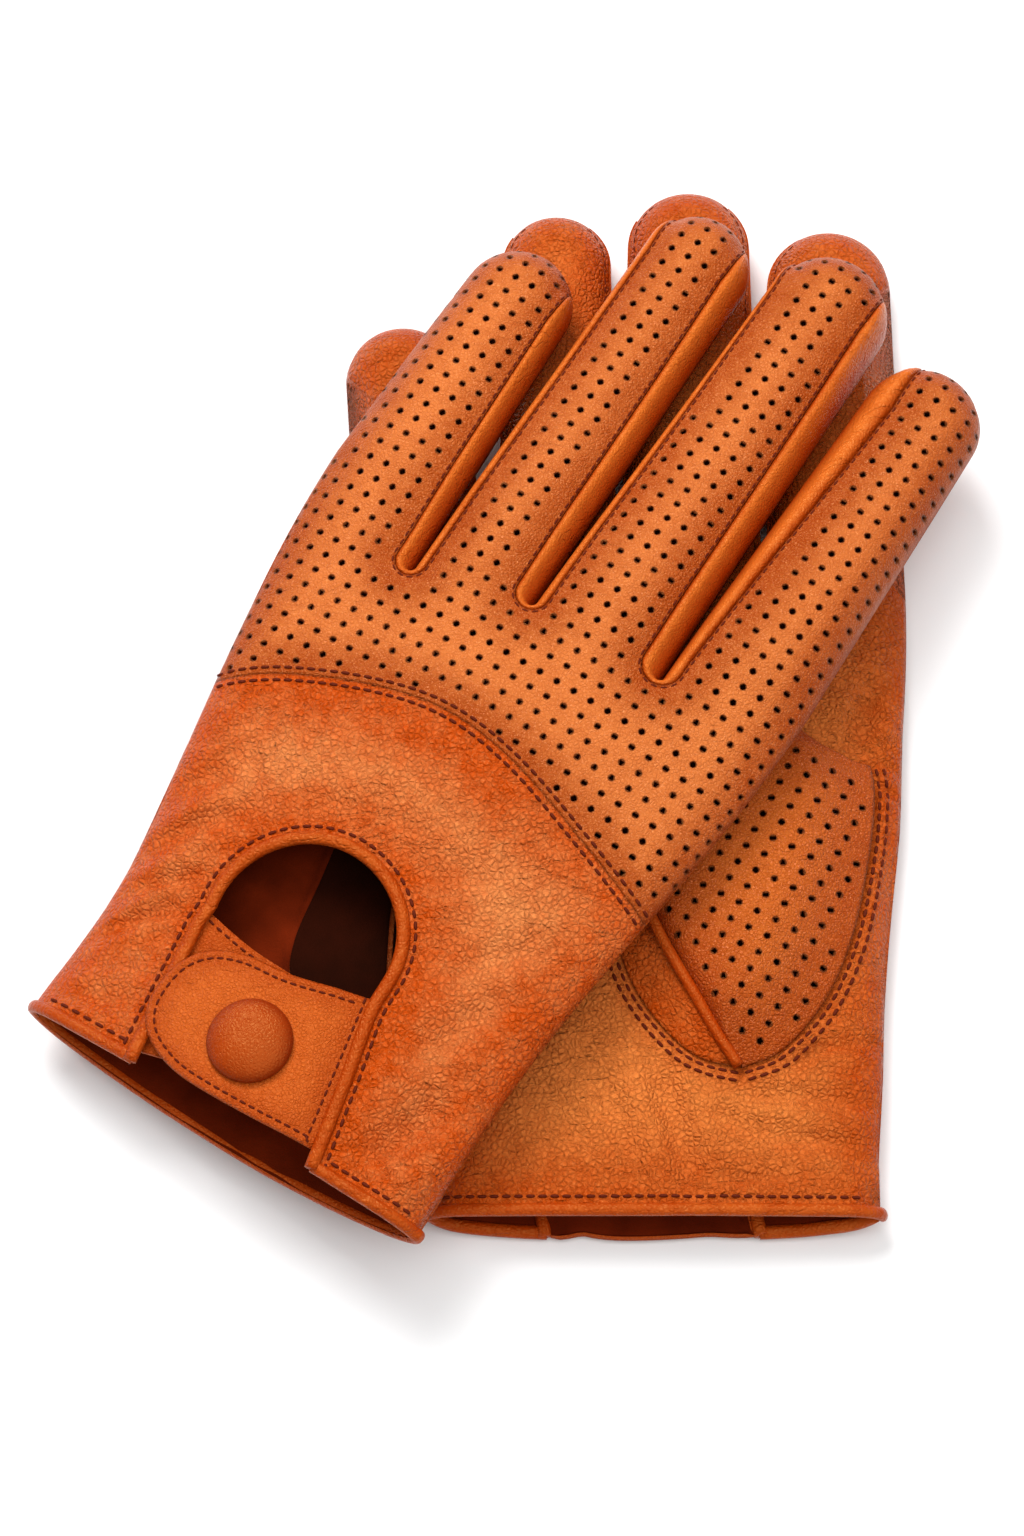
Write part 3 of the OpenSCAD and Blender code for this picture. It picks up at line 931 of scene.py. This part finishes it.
class Nodes:
    """Short names for building a material's nodes."""

    def __init__(self, name):
        self.material = bpy.data.materials.new(name)
        self.material.use_nodes = True
        self.tree = self.material.node_tree
        self.shader = self.tree.nodes["Principled BSDF"]

    def add(self, kind, **values):
        node = self.tree.nodes.new(kind)
        for key, value in values.items():
            if hasattr(node, key):
                setattr(node, key, value)
            else:
                node.inputs[key.replace("_", " ")].default_value = value
        return node

    def link(self, a, b):
        self.tree.links.new(a, b)

    def feed(self, socket, value):
        """A constant, or a link from another node's output."""
        if isinstance(value, (int, float, tuple)):
            socket.default_value = value
        else:
            self.link(value, socket)

    def paint(self, **values):
        """Sets the shader's own sockets."""
        for key, value in values.items():
            self.feed(self.shader.inputs[key.replace("_", " ")], value)

    def coords(self):
        return self.add("ShaderNodeTexCoord").outputs["Object"]

    def attribute(self, name):
        return self.add("ShaderNodeAttribute", attribute_name=name).outputs["Fac"]

    def noise(self, where, scale, detail=3.0, rough=0.55, output="Fac"):
        node = self.add("ShaderNodeTexNoise", Scale=scale, Detail=detail, Roughness=rough)
        self.link(where, node.inputs["Vector"])
        return node.outputs[output]

    def cell_edges(self, where, scale):
        node = self.add("ShaderNodeTexVoronoi", feature="DISTANCE_TO_EDGE", Scale=scale)
        self.link(where, node.inputs["Vector"])
        return node.outputs["Distance"]

    def remap(self, value, a, b, c=0.0, d=1.0):
        node = self.add("ShaderNodeMapRange", From_Min=a, From_Max=b, To_Min=c, To_Max=d)
        self.link(value, node.inputs["Value"])
        return node.outputs["Result"]

    def math(self, op, a, b):
        node = self.add("ShaderNodeMath", operation=op)
        self.feed(node.inputs[0], a)
        self.feed(node.inputs[1], b)
        return node.outputs[0]

    def vector(self, op, a):
        node = self.add("ShaderNodeVectorMath", operation=op)
        self.link(a, node.inputs[0])
        return node

    def mix(self, fac, a, b):
        node = self.add("ShaderNodeMix", data_type="RGBA")
        self.feed(node.inputs[0], fac)
        self.feed(node.inputs[6], a)
        self.feed(node.inputs[7], b)
        return node.outputs[2]

    def bump(self, height, distance, strength, below=None):
        node = self.add("ShaderNodeBump", Strength=strength, Distance=distance)
        self.link(height, node.inputs["Height"])
        if below is not None:
            self.link(below, node.inputs["Normal"])
        return node.outputs["Normal"]


# Dark edge colour: a punched hole's raw edge with painted shade in it, also painted shadow along seams.
RAW_EDGE_AND_SEAM_SHADE = srgb(88, 28, 7)
LEATHER_GLEAM = (1.0, 0.57, 0.16, 1.0)
CREASE_TURN = -22
PEBBLE_WANDER = 0.0009


def leather(name, light, deep, grain, grain_depth, crease, painted_glints, rough, valley_shade):
    """Dyed sheepskin: pebbles, fine creases, cloudy tone, painted shade in pebble valleys and crease
    lines, painted glints, raw hole edges darkened with painted shade, and painted shadow along seams.

    The colour runs from deep, a painted shade at a panel's edges and seams, to light, a painted
    highlight in its middle, after its vertex values; pieces without them take mostly the deep colour.
    grain is pebbles a metre, and grain_depth and crease are heights in metres.
    """
    n = Nodes(name)
    at = n.coords()
    pull = n.vector("SCALE", n.noise(at, 330.0, 2.0, 0.5, "Color"))
    pull.inputs["Scale"].default_value = PEBBLE_WANDER
    shifted = n.vector("ADD", at)
    n.link(pull.outputs[0], shifted.inputs[1])
    where = shifted.outputs[0]
    pebble = n.cell_edges(where, grain)
    fine = n.noise(at, grain * 3.2, 4.0, 0.7)

    turned = n.add("ShaderNodeMapping", Scale=(0.30, 1.0, 1.0))
    turned.inputs["Rotation"].default_value = (0.0, 0.0, math.radians(CREASE_TURN))
    n.link(where, turned.inputs["Vector"])
    lines = n.noise(turned.outputs[0], 300.0, 1.5, 0.5)
    line_gap = n.math("ABSOLUTE", n.math("SUBTRACT", lines, 0.5), 0.0)
    in_patch = n.remap(n.noise(at, 45.0, 1.0), 0.42, 0.62)
    line_depth = n.math("MULTIPLY", n.remap(line_gap, 0.0, 0.05, 1.0, 0.0), in_patch)

    clouds = n.remap(n.noise(at, 22.0, 3.0), 0.3, 0.7, 0.0, 0.55)
    blotches = n.remap(n.noise(at, 260.0, 2.0), 0.3, 0.7, 0.0, 0.45)
    uneven = n.math("SUBTRACT", n.math("ADD", clouds, blotches), 0.4)
    # Painted light: the vertex values lift the colour from the deep, painted-shade colour at edges and
    # seams to the light, painted-highlight colour in a panel's middle; the clouds and blotches are the
    # leather's own uneven tone.
    worn = n.math("MULTIPLY", n.attribute("worn"), 0.85)
    paleness = n.math("ADD", worn, n.math("MULTIPLY", uneven, 0.55))
    dye_and_shading = n.mix(n.remap(paleness, 0.0, 1.0), deep, light)
    # Painted shade: the pebble valleys darkened towards half the deep colour.
    dark = tuple(c * 0.5 for c in deep[:3]) + (1.0,)
    dye_and_shading = n.mix(n.remap(pebble, 0.0, 0.12, valley_shade, 0.0), dye_and_shading, dark)
    # Painted shade along the fine crease lines.
    crease_shade = 0.16 * min(1.0, crease / 0.0004)
    dye_and_shading = n.mix(n.math("MULTIPLY", line_depth, crease_shade), dye_and_shading, dark)
    # Painted glints: bright specks mixed into the colour.
    if painted_glints:
        speck = n.noise(at, grain * 2.6, 2.0, 0.6)
        bright = tuple(min(1.0, c * 1.9 + 0.10) for c in light[:3]) + (1.0,)
        dye_and_shading = n.mix(n.remap(speck, 0.56, 0.74, 0.0, painted_glints), dye_and_shading, bright)
    # Dark edge colour: the raw cut edge of each punched hole with painted shade in it, and painted
    # shadow along seams.
    dye_and_shading = n.mix(n.math("POWER", n.attribute("rim"), 2.5), dye_and_shading, RAW_EDGE_AND_SEAM_SHADE)

    soft = n.bump(n.noise(at, 120.0, 5.0, 0.6), crease * 1.3, 0.7)
    lined = n.bump(n.math("SUBTRACT", 1.0, line_depth), crease * 0.5, 0.9, soft)
    pebbled = n.bump(n.remap(pebble, 0.0, 0.30), grain_depth, 0.9, lined)
    n.paint(
        Base_Color=dye_and_shading,
        Roughness=n.remap(fine, 0.3, 0.7, rough - 0.07, rough + 0.10),
        Specular_IOR_Level=0.5,
        Specular_Tint=LEATHER_GLEAM,
        Normal=n.bump(fine, grain_depth * 0.8, 0.7, pebbled),
    )
    return n.material


def suede(name, light, dark):
    """The napped inner face of the leather."""
    n = Nodes(name)
    at = n.coords()
    n.paint(
        Base_Color=n.mix(n.remap(n.noise(at, 60.0), 0.35, 0.65), dark, light),
        Roughness=0.95,
        Specular_IOR_Level=0.05,
        Normal=n.bump(n.noise(at, 1500.0, 5.0, 0.75), 0.0003, 0.8),
    )
    return n.material


def thread(name):
    """Waxed thread, twisted."""
    n = Nodes(name)
    twist = n.noise(n.coords(), 2500.0, 2.0)
    n.paint(
        Base_Color=n.mix(twist, srgb(70, 17, 3), srgb(112, 36, 8)),
        Roughness=0.7,
        Specular_IOR_Level=0.12,
        Normal=n.bump(twist, 0.0001, 0.6),
    )
    return n.material


def brass(name):
    """Polished brass with faint handling marks."""
    n = Nodes(name)
    mark = n.noise(n.coords(), 900.0, 4.0)
    n.paint(
        Base_Color=n.mix(mark, srgb(176, 128, 62), srgb(222, 184, 112)),
        Metallic=1.0,
        Roughness=n.remap(mark, 0.3, 0.7, 0.22, 0.38),
    )
    return n.material


# Each leather's light colour is a painted highlight for panel middles, roll crests and the cap's top,
# its deep colour a painted shade for edges and seams.
PERFORATED = leather(
    "perforated_leather", light=srgb(204, 106, 49), deep=srgb(156, 56, 6), grain=1150.0,
    grain_depth=0.00014, crease=0.00018, painted_glints=0.46, rough=0.43, valley_shade=0.10,
)
THUMB = leather(
    "thumb_leather", light=srgb(190, 88, 28), deep=srgb(160, 56, 6), grain=1150.0,
    grain_depth=0.00018, crease=0.00020, painted_glints=0.62, rough=0.41, valley_shade=0.16,
)
PLAIN = leather(
    "plain_leather", light=srgb(242, 152, 86), deep=srgb(198, 68, 2), grain=800.0,
    grain_depth=0.00044, crease=0.00050, painted_glints=0.12, rough=0.33, valley_shade=0.22,
)
PALM = leather(
    "palm_leather", light=srgb(227, 123, 54), deep=srgb(187, 65, 3), grain=800.0,
    grain_depth=0.00044, crease=0.00050, painted_glints=0.10, rough=0.33, valley_shade=0.22,
)
ROLLED = leather(
    "smooth_leather", light=srgb(210, 102, 32), deep=srgb(168, 56, 3), grain=1000.0,
    grain_depth=0.00012, crease=0.00030, painted_glints=0.0, rough=0.34, valley_shade=0.05,
)
STRAP = leather(
    "strap_leather", light=srgb(196, 84, 24), deep=srgb(174, 62, 8), grain=1250.0,
    grain_depth=0.00018, crease=0.00018, painted_glints=0.18, rough=0.42, valley_shade=0.16,
)
CAP = leather(
    "cap_leather", light=srgb(162, 55, 6), deep=srgb(126, 33, 1), grain=1300.0,
    grain_depth=0.00007, crease=0.00012, painted_glints=0.0, rough=0.33, valley_shade=0.03,
)
SUEDE = suede("suede_lining", srgb(108, 31, 5), srgb(78, 19, 2))
# A darker copy of the suede: painted shade for the inside of the thumb and its gusset.
SHADED_THUMB_SUEDE = suede("suede_lining_thumb_shaded", srgb(44, 11, 2), srgb(30, 7, 1))
THREAD = thread("thread")
BRASS = brass("snap_brass")


# ---------------------------------------------------------------- a glove's pieces

def above(path, y):
    return [p for p in path if p[1] > y]


def back_outline(g):
    """The perforated panel's edge: sides, fingertips, gap seams and the knuckle seam."""
    left, ring, middle, right = g.outer
    left = above(left, KNUCKLE[0][1] + PANEL_END)
    right = above(right, KNUCKLE[-1][1] + PANEL_END)
    return chain(left, g.seams[0], ring, g.seams[1], middle, g.seams[2], right, KNUCKLE[::-1])


def cuff_outline(g):
    left = [p for p in above(g.outer[0], PANEL_END) if p[1] < KNUCKLE[0][1] - PANEL_END]
    right = [p for p in above(g.outer[3], PANEL_END) if p[1] < KNUCKLE[-1][1] - PANEL_END]
    foot = line((index_side(0), 0), (SLIT_RIGHT_FOOT, 0))
    end = line((SLIT_LEFT_FOOT, 0), (little_side(0), 0))
    return chain(left, KNUCKLE, right, foot, KEYHOLE[::-1], end)[:-1]


def palm_edge(g, x):
    """The y of the palm's edge at the mouth, which hangs down in the middle."""
    return -g.palm_hang * (1 - (x / CUFF_HALF) ** 2)


def palm_outline(g):
    foot = [(x, palm_edge(g, x)) for x in np.arange(index_side(0), little_side(0), -2.0)]
    return chain(above(g.rim, 0.01), foot, [(little_side(0), 0)])


def thumb_hole(g):
    """The opening in the palm that the thumb is sewn round."""
    inner = offset(chain(U_SEAM, g.gusset), 1.2)
    return chain(inner, curve([inner[-1], (0, 84), (14, 96), (30, 98), inner[0]]))[:-1]


def thumb_height(g):
    """The folded thumb's outer face, below the palm in local z."""
    def height(points):
        p = plan(points)
        sewn, _ = nearest(p, U_SEAM)
        free, _ = nearest_of(p, [WELT, THUMB_TOP, THUMB_TIP])
        swell = np.minimum(smooth(-1.5, 17, sewn), dome(free, THUMB_EDGE_R))
        return -g.thumb_rise * swell - 0.15 + 0.5 * bell(sewn, 1.2)
    return height


def gusset_height(g):
    def height(points):
        sewn, _ = nearest(points, g.gusset)
        return -0.15 - 0.35 * g.thumb_rise * smooth(0, 10, sewn) + 0.4 * bell(sewn, 1.2)
    return height


def gap_rolls(g, i):
    """The side walls of a finger gap, rolled over from the back seam down into the slit."""
    seam, gap = g.seams[i], GAPS[i]
    before, after = g.fingers[i], g.fingers[i + 1]
    round_top = gap.foot + (gap.foot_seams[1] - gap.foot_seams[0]) / 2 + 0.05
    round_foot = [k for k, p in enumerate(seam) if p[1] <= round_top]
    first, last = round_foot[0], round_foot[-1]
    down = chain(
        tip(before, seam_angle(before, gap.top_seams[0]), 0),
        line(tip_side(before, 1), slit_foot(gap, -1)),
    )
    up = chain(
        line(slit_foot(gap, 1), tip_side(after, -1)),
        tip(after, 180, seam_angle(after, gap.top_seams[1])),
    )
    along, round_count = 70, 16
    s = np.vstack([
        resample(seam[:first + 1], along),
        resample(seam[first:last + 1], round_count)[1:-1],
        resample(seam[last:], along),
    ])
    across_slit = np.linspace(slit_foot(gap, -1), slit_foot(gap, 1), round_count)[1:-1]
    q = np.vstack([resample(down, along), across_slit, resample(up, along)])
    top = back_height(g, s) - 0.25
    full = np.minimum(1.3, 0.28 * np.linalg.norm(q - s, axis=1))
    rows = []
    steps = 9
    for k in range(steps + 1):
        t = math.sin(math.pi / 2 * k / steps)
        puff = full * (1 - (1 - 2 * min(1, 1.25 * t)) ** 2 if t < 0.8 else 0)
        z = g.mid + (top - g.mid) * math.sqrt(max(0, 1 - t * t)) + puff
        rows.append(np.column_stack([s + (q - s) * t, z]))
    rows.append(np.column_stack([q, np.full(len(q), g.mid - 1.6)]))
    verts = np.stack(rows, 1)
    count, wide = verts.shape[:2]
    faces = []
    for a in range(0, (count - 1) * wide, wide):
        for b in range(wide - 1):
            faces.append((a + b, a + wide + b, a + wide + b + 1, a + b + 1))
    if g.mirrored:
        faces = [f[::-1] for f in faces]
    name = g.side + "_gap_roll_" + GAP_NAMES[i]
    obj = new_object(name, g.place(verts.reshape(-1, 3)), faces, [ROLLED, SUEDE])
    # Painted light across the roll: a painted highlight on its crest, painted shade at the seam and
    # down into the slit.
    painted_light_across = [0.0, 0.35, 0.85, 1.0, 0.9, 0.6, 0.25, 0.0, 0.0, 0.0, 0.0]
    add_values(obj, "worn", np.tile(painted_light_across, count))
    thicken(obj, GAP_WALL)
    return obj


def strap_height(g):
    """The strap's outer face: over the tab, lifted over the snap and sewn down at its root."""
    outline = strap_outline(g)

    def height(points):
        p = plan(points)
        x, y = p[:, 0], p[:, 1]
        edge, _ = nearest(p, outline, closed=True)
        z = g.strap_face - 0.55 * np.clip(1 - edge / 1.1, 0, 1) ** 2
        z = z - 0.28 * bell(edge - 1.9, 0.5)
        lean = (SLIT_RIGHT_FOOT - SLIT_RIGHT_TOP) / SLIT_TOP_Y
        root = SLIT_RIGHT_TOP + (SLIT_TOP_Y - y) * lean
        from_cap = np.linalg.norm(p - np.array([CAP_X, CAP_Y]), axis=1)
        z = z + 0.25 * bell(from_cap, 13)
        if g.mirrored:
            z = z + 2.4 * smooth(9, 1, y)
        else:
            z = z - 1.5 * smooth(9, 0, root - x)
        return z - 0.45 * bell(from_cap - CAP_R - 0.6, 0.7)
    return height


def tab_height(g):
    def height(points):
        return g.tab_face + 0.6 * smooth(-20, -28, plan(points)[:, 0]) - g.tab_sink
    return height


def cap_mesh(g):
    """The leather-covered snap cap: a low dome with a tucked rim."""
    seat = g.strap_face
    sides, rings = 64, 14
    profile = []
    for k in range(1, rings + 1):
        a = math.pi / 2 * k / rings
        z = seat + 0.75 + (CAP_RISE - 0.4) * math.cos(a) ** 1.1
        profile.append((CAP_R * math.sin(a) ** 0.95, z))
    profile += [(CAP_R + 0.05, seat + 0.45), (CAP_R - 0.35, seat + 0.12), (CAP_R - 1.4, seat - 0.05)]
    verts = [(CAP_X, CAP_Y, seat + CAP_RISE + 0.35)]
    for radius, z in profile:
        verts += [(CAP_X + radius * x, CAP_Y + radius * y, z) for x, y in circle(sides)]
    faces = [(0, 1 + k, 1 + (k + 1) % sides) for k in range(sides)]
    faces += [(a, d, c, b) for a, b, c, d in ring_faces(1, len(profile), sides)]
    last = 1 + (len(profile) - 1) * sides
    faces.append(tuple(last + k for k in range(sides))[::-1])
    if g.mirrored:
        faces = [f[::-1] for f in faces]
    obj = new_object(g.side + "_snap_cover", g.place(verts), faces, [CAP])
    # Painted highlight: the cap lighter towards its top.
    add_values(obj, "worn", [smooth(seat + 1.0, seat + CAP_RISE, v[2]) for v in verts])
    return obj


def cuff_binding(g):
    """The rolled edge round the mouth, from one foot of the slit to the other."""
    flat_half = CUFF_HALF - EDGE_R
    turn = [flat_half + EDGE_R * math.sin(math.radians(a)) for a in range(0, 91, 15)]
    to_left = list(np.arange(SLIT_LEFT_FOOT - 0.2, -flat_half, -1.5)) + [-x for x in turn]
    to_right = [-x for x in turn[::-1][1:]] + list(np.arange(1.5 - flat_half, flat_half, 1.5)) + turn
    to_slit = turn[::-1][1:] + list(np.arange(flat_half - 1.5, SLIT_RIGHT_FOOT, -1.5))
    points, normals = [], []
    for xs, on_palm in ((to_left, False), (to_right, True), (to_slit, False)):
        for x in xs:
            if on_palm:
                z = palm_height(g, [(x, 0.0)])[0] - g.mouth_lift * 0.4
                points.append((x, 0.9 + palm_edge(g, x), z))
            else:
                z = back_height(g, [(x, 0.9)])[0] + g.mouth_lift
                points.append((x, 0.9, z))
            beyond = x - max(-flat_half, min(flat_half, x))
            level = (0, 0, 1 if z > g.mid else -1)
            normals.append((beyond, 0, z - g.mid) if abs(beyond) > 0.01 else level)
    return tube(g, g.side + "_cuff_edge", points, normals, 1.45, 1.15, [ROLLED])


def build_glove(g):
    """Every visible piece of one glove, each on its body and standing for its CAD node."""
    glove, strap = g.side + "_glove", g.side + "_strap"

    def back(points):
        return back_height(g, points)

    def palm(points):
        return palm_height(g, points)

    def keep(obj, slot, node=None, body=glove):
        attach(obj, body)
        if node:
            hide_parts(g.side + "_" + node)

    def sheet(name, node, slot, outline, height, face, material, inner=SUEDE, body=glove, **shape):
        name = g.side + "_" + name
        obj = panel(g, name, outline, height, face, [material, inner], **shape)
        keep(obj, slot, node, body)

    def roll(name, path, normal, wide, high, node=None):
        obj = tube(g, g.side + "_" + name, path, [normal] * len(path), wide, high, [ROLLED])
        keep(obj, "smooth_leather", node)

    def sew(name, runs, height, up=1, kind=SEWN, body=glove):
        keep(stitches(g, g.side + "_" + name, runs, height, up, kind), "smooth_leather", body=body)

    # The perforated back.
    seams = g.seams + [KNUCKLE]
    outline = back_outline(g)
    sheet(
        "perforated_back", "back_panel", "perforated_leather", outline, back, 1, PERFORATED,
        edge_paths=g.outer, holes=punched_holes(g, outline, seams), seams=seams, dark=seams,
        worn_reach=13.0,
    )

    # The plain cuff with its wrist opening.
    sheet(
        "plain_cuff", "cuff_panel", "plain_leather", cuff_outline(g), back, 1, PLAIN,
        edge_paths=[g.outer[0], g.outer[3]], seams=[KNUCKLE], step=1.5, dark=[KNUCKLE],
        worn_reach=34.0,
    )

    # The palm, with the hole that the thumb is sewn into.
    sheet(
        "palm", "palm_panel", "plain_leather", palm_outline(g), palm, -1, PALM,
        edge_paths=[above(g.rim, 6)], cuts=[thumb_hole(g)], step=1.6, seams=[U_SEAM, g.gusset],
        worn_reach=26.0,
    )

    # The gaps between the fingers.
    for i, name in enumerate(GAP_NAMES):
        keep(gap_rolls(g, i), "smooth_leather", "fourchette_" + name)

    # The thumb, folded over the palm, with its gusset and welt.
    outline = chain(U_SEAM, WELT, THUMB_TIP[::-1], THUMB_TOP[::-1])[:-1]
    sheet(
        "thumb_stall", "thumb", "perforated_leather", outline, thumb_height(g), -1, THUMB,
        SHADED_THUMB_SUEDE, edge_paths=[WELT, THUMB_TOP, THUMB_TIP], edge_r=THUMB_EDGE_R,
        holes=thumb_holes(outline), seams=[U_SEAM], dark=[U_SEAM, WELT],
    )
    outline = chain(g.gusset, line(g.gusset[-1], WELT[-5]), WELT[::-1][4:])[:-1]
    sheet(
        "thumb_quirk", "thumb_gusset", "plain_leather", outline, gusset_height(g), -1, PALM,
        SHADED_THUMB_SUEDE, edge_paths=[], seams=[g.gusset], dark=[g.gusset], worn_reach=14.0,
    )
    welt_z = -1.0 - 0.42 * g.thumb_rise * smooth(0, 22, plan(WELT)[:, 1] - 31)
    roll("thumb_welt", np.column_stack([offset(WELT, -0.7), welt_z]), (0, 0, -1), 1.25, 1.25)

    # Rolled bindings of the wrist opening and the cuff.
    edge = offset(KEYHOLE, -0.55)
    path = np.column_stack([edge, back(edge) + g.window_lift])
    roll("wrist_edge", path, (0, 0, 1), 1.5, 1.25, "keyhole_binding")
    keep(cuff_binding(g), "smooth_leather", "cuff_binding")

    # The tab, the strap and the snap's cover.
    around = strap_outline(g) + strap_outline(g)[:1]
    sheet(
        "tab", "under_tab", "strap_leather", TAB_SHAPE, tab_height(g), 1, STRAP, edge_paths=[],
    )
    sheet(
        "wrist_strap", "strap", "strap_leather", around[:-1], strap_height(g), 1, STRAP,
        edge_paths=[around], edge_r=STRAP_EDGE_R, step=1.5, worn_reach=8.0, body=strap,
    )
    keep(cap_mesh(g), "smooth_leather", "snap_cap", body=strap)

    # Stitching.
    sew("knuckle_stitches", [offset(KNUCKLE, 1.5), offset(KNUCKLE, -1.5)], back)
    sew("wrist_stitches", [offset(KEYHOLE, -3.1)], back)
    end = CUFF_HALF - ROW_END
    left_row = line((SLIT_LEFT_FOOT - ROW_END, CUFF_ROW), (-end, CUFF_ROW))
    right_row = line((SLIT_RIGHT_FOOT + ROW_END, CUFF_ROW), (end, CUFF_ROW))
    sew("cuff_stitches", [left_row, right_row], back)
    palm_row = [(x, PALM_ROW + palm_edge(g, x)) for x in np.arange(-end, end, 1.5)]
    sew("palm_cuff_stitches", [palm_row], palm, -1)
    rows = (SEAM_ROW_NEAR, SEAM_ROW_FAR)
    doubled = [offset(seam, -row) for seam in (U_SEAM, g.gusset) for row in rows]
    sew("thumb_stitches", doubled, palm, -1)
    sew("gap_stitches", [offset(seam, 0.5) for seam in g.seams], back, 1, IN_GROOVE)
    strap_row = [
        p for p in offset(around, -1.9) if p[0] < SLIT_RIGHT_TOP + (SLIT_TOP_Y - p[1]) * 0.22 - 1.5
    ]
    sew("strap_stitches", [strap_row], strap_height(g), 1, FINE, strap)
    tab_row = curve([(-26.6, 34.4), (-15.0, 32.4), (-6.0, 32.0)])
    sew("tab_stitches", [tab_row], tab_height(g), 1, FINE)
    sew("palm_gap_stitches", g.palm_seams, palm, -1, PALM_GROOVE)


# thick is the whole glove and tab_face the height of the under tab. The lifts and tab_sink move
# pieces off the faces that they lie on, and palm_hang, cuff_sag and thumb_rise shape the palm.
LOWER = Glove(
    "right", FINGERS_LOWER, GUSSET_LOWER, mirrored=True, origin=(27.5, -115.7, 0.0), turn=0, roll=0,
    thick=12.0, tab_face=5.3, tab_sink=0.0, palm_hang=0.0, cuff_sag=-0.8, thumb_rise=6.0,
    window_lift=-1.6, mouth_lift=-1.0,
)
UPPER = Glove(
    "left", FINGERS_UPPER, GUSSET_UPPER, mirrored=False, origin=(-62.1, -98.8, 15.0), turn=32.5,
    roll=2.9, thick=13.0, tab_face=11.8, tab_sink=0.9, palm_hang=3.0, cuff_sag=4.2, thumb_rise=3.4,
    window_lift=0.25, mouth_lift=-0.25,
)
for glove in (LOWER, UPPER):
    build_glove(glove)
    for node in ("snap_stud", "snap_rivet", "snap_socket"):
        obj = bpy.data.objects.get(glove.side + "_" + node)
        obj.data.materials.clear()
        obj.data.materials.append(BRASS)


# ---------------------------------------------------------------- studio, in metres

FLOOR_HALF = 3
WALL_RADIUS, WALL_HEIGHT, WALL_SIDES, WALL_GLOW = 2.6, 3.0, 64, 0.86
AMBIENT = 0.20
KEY_PLACE, KEY_SIZE, KEY_POWER = (-0.32, 0.72, 0.98), 0.60, 14.4
TOP_PLACE, TOP_ANGLE, TOP_POWER = (0.20, -0.10, 1.0), 70, 2.10
VIEW_TARGET = Vector((-0.0024, -0.018, 0.0146))
VIEW_TILT, VIEW_DISTANCE, VIEW_LENS = 70, 0.9215, 100


def floor():
    """A near-white floor."""
    h = FLOOR_HALF
    obj = new_object("floor", [(-h, -h, 0), (h, -h, 0), (h, h, 0), (-h, h, 0)], [(0, 1, 2, 3)])
    n = Nodes("floor")
    tone = n.noise(n.coords(), 3.0)
    n.paint(
        Base_Color=n.mix(tone, (0.93, 0.93, 0.93, 1.0), (0.95, 0.95, 0.95, 1.0)),
        Roughness=0.9,
    )
    obj.data.materials.append(n.material)


def backdrop():
    """A white wall round the floor. It is seen, and neither lights nor shades the gloves."""
    verts = [
        (WALL_RADIUS * x, WALL_RADIUS * y, z)
        for z in (-0.01, WALL_HEIGHT)
        for x, y in circle(WALL_SIDES)
    ]
    obj = new_object("backdrop", verts, ring_faces(0, 2, WALL_SIDES))
    n = Nodes("backdrop")
    n.paint(
        Base_Color=(0.0, 0.0, 0.0, 1.0),
        Specular_IOR_Level=0.0,
        Emission_Color=(1.0, 1.0, 1.0, 1.0),
        Emission_Strength=WALL_GLOW,
    )
    obj.data.materials.append(n.material)
    obj.visible_diffuse = False
    obj.visible_glossy = False
    obj.visible_shadow = False


def light(name, kind, place, **values):
    """A light at a place, aimed at the gloves."""
    data = bpy.data.lights.new(name, kind)
    for key, value in values.items():
        setattr(data, key, value)
    obj = bpy.data.objects.new(name, data)
    bpy.context.scene.collection.objects.link(obj)
    obj.location = place
    obj.rotation_euler = (-Vector(place)).to_track_quat("-Z", "Y").to_euler()


def camera():
    data = bpy.data.cameras.new("camera")
    data.lens = VIEW_LENS
    data.sensor_width = 36
    obj = bpy.data.objects.new("camera", data)
    bpy.context.scene.collection.objects.link(obj)
    tilt = math.radians(VIEW_TILT)
    obj.location = VIEW_TARGET + Vector((0, -math.cos(tilt), math.sin(tilt))) * VIEW_DISTANCE
    obj.rotation_euler = (VIEW_TARGET - obj.location).to_track_quat("-Z", "Y").to_euler()
    bpy.context.scene.camera = obj


floor()
backdrop()
world = bpy.data.worlds.new("studio")
bpy.context.scene.world = world
world.use_nodes = True
world.node_tree.nodes["Background"].inputs[0].default_value = (1, 1, 1, 1)
world.node_tree.nodes["Background"].inputs[1].default_value = AMBIENT
light("key", "AREA", KEY_PLACE, size=KEY_SIZE, energy=KEY_POWER)
light("top", "SUN", TOP_PLACE, angle=math.radians(TOP_ANGLE), energy=TOP_POWER)
bpy.context.scene.view_settings.view_transform = "Standard"
bpy.context.scene.view_settings.look = "None"
bpy.context.scene.view_settings.exposure = 0.0
camera()
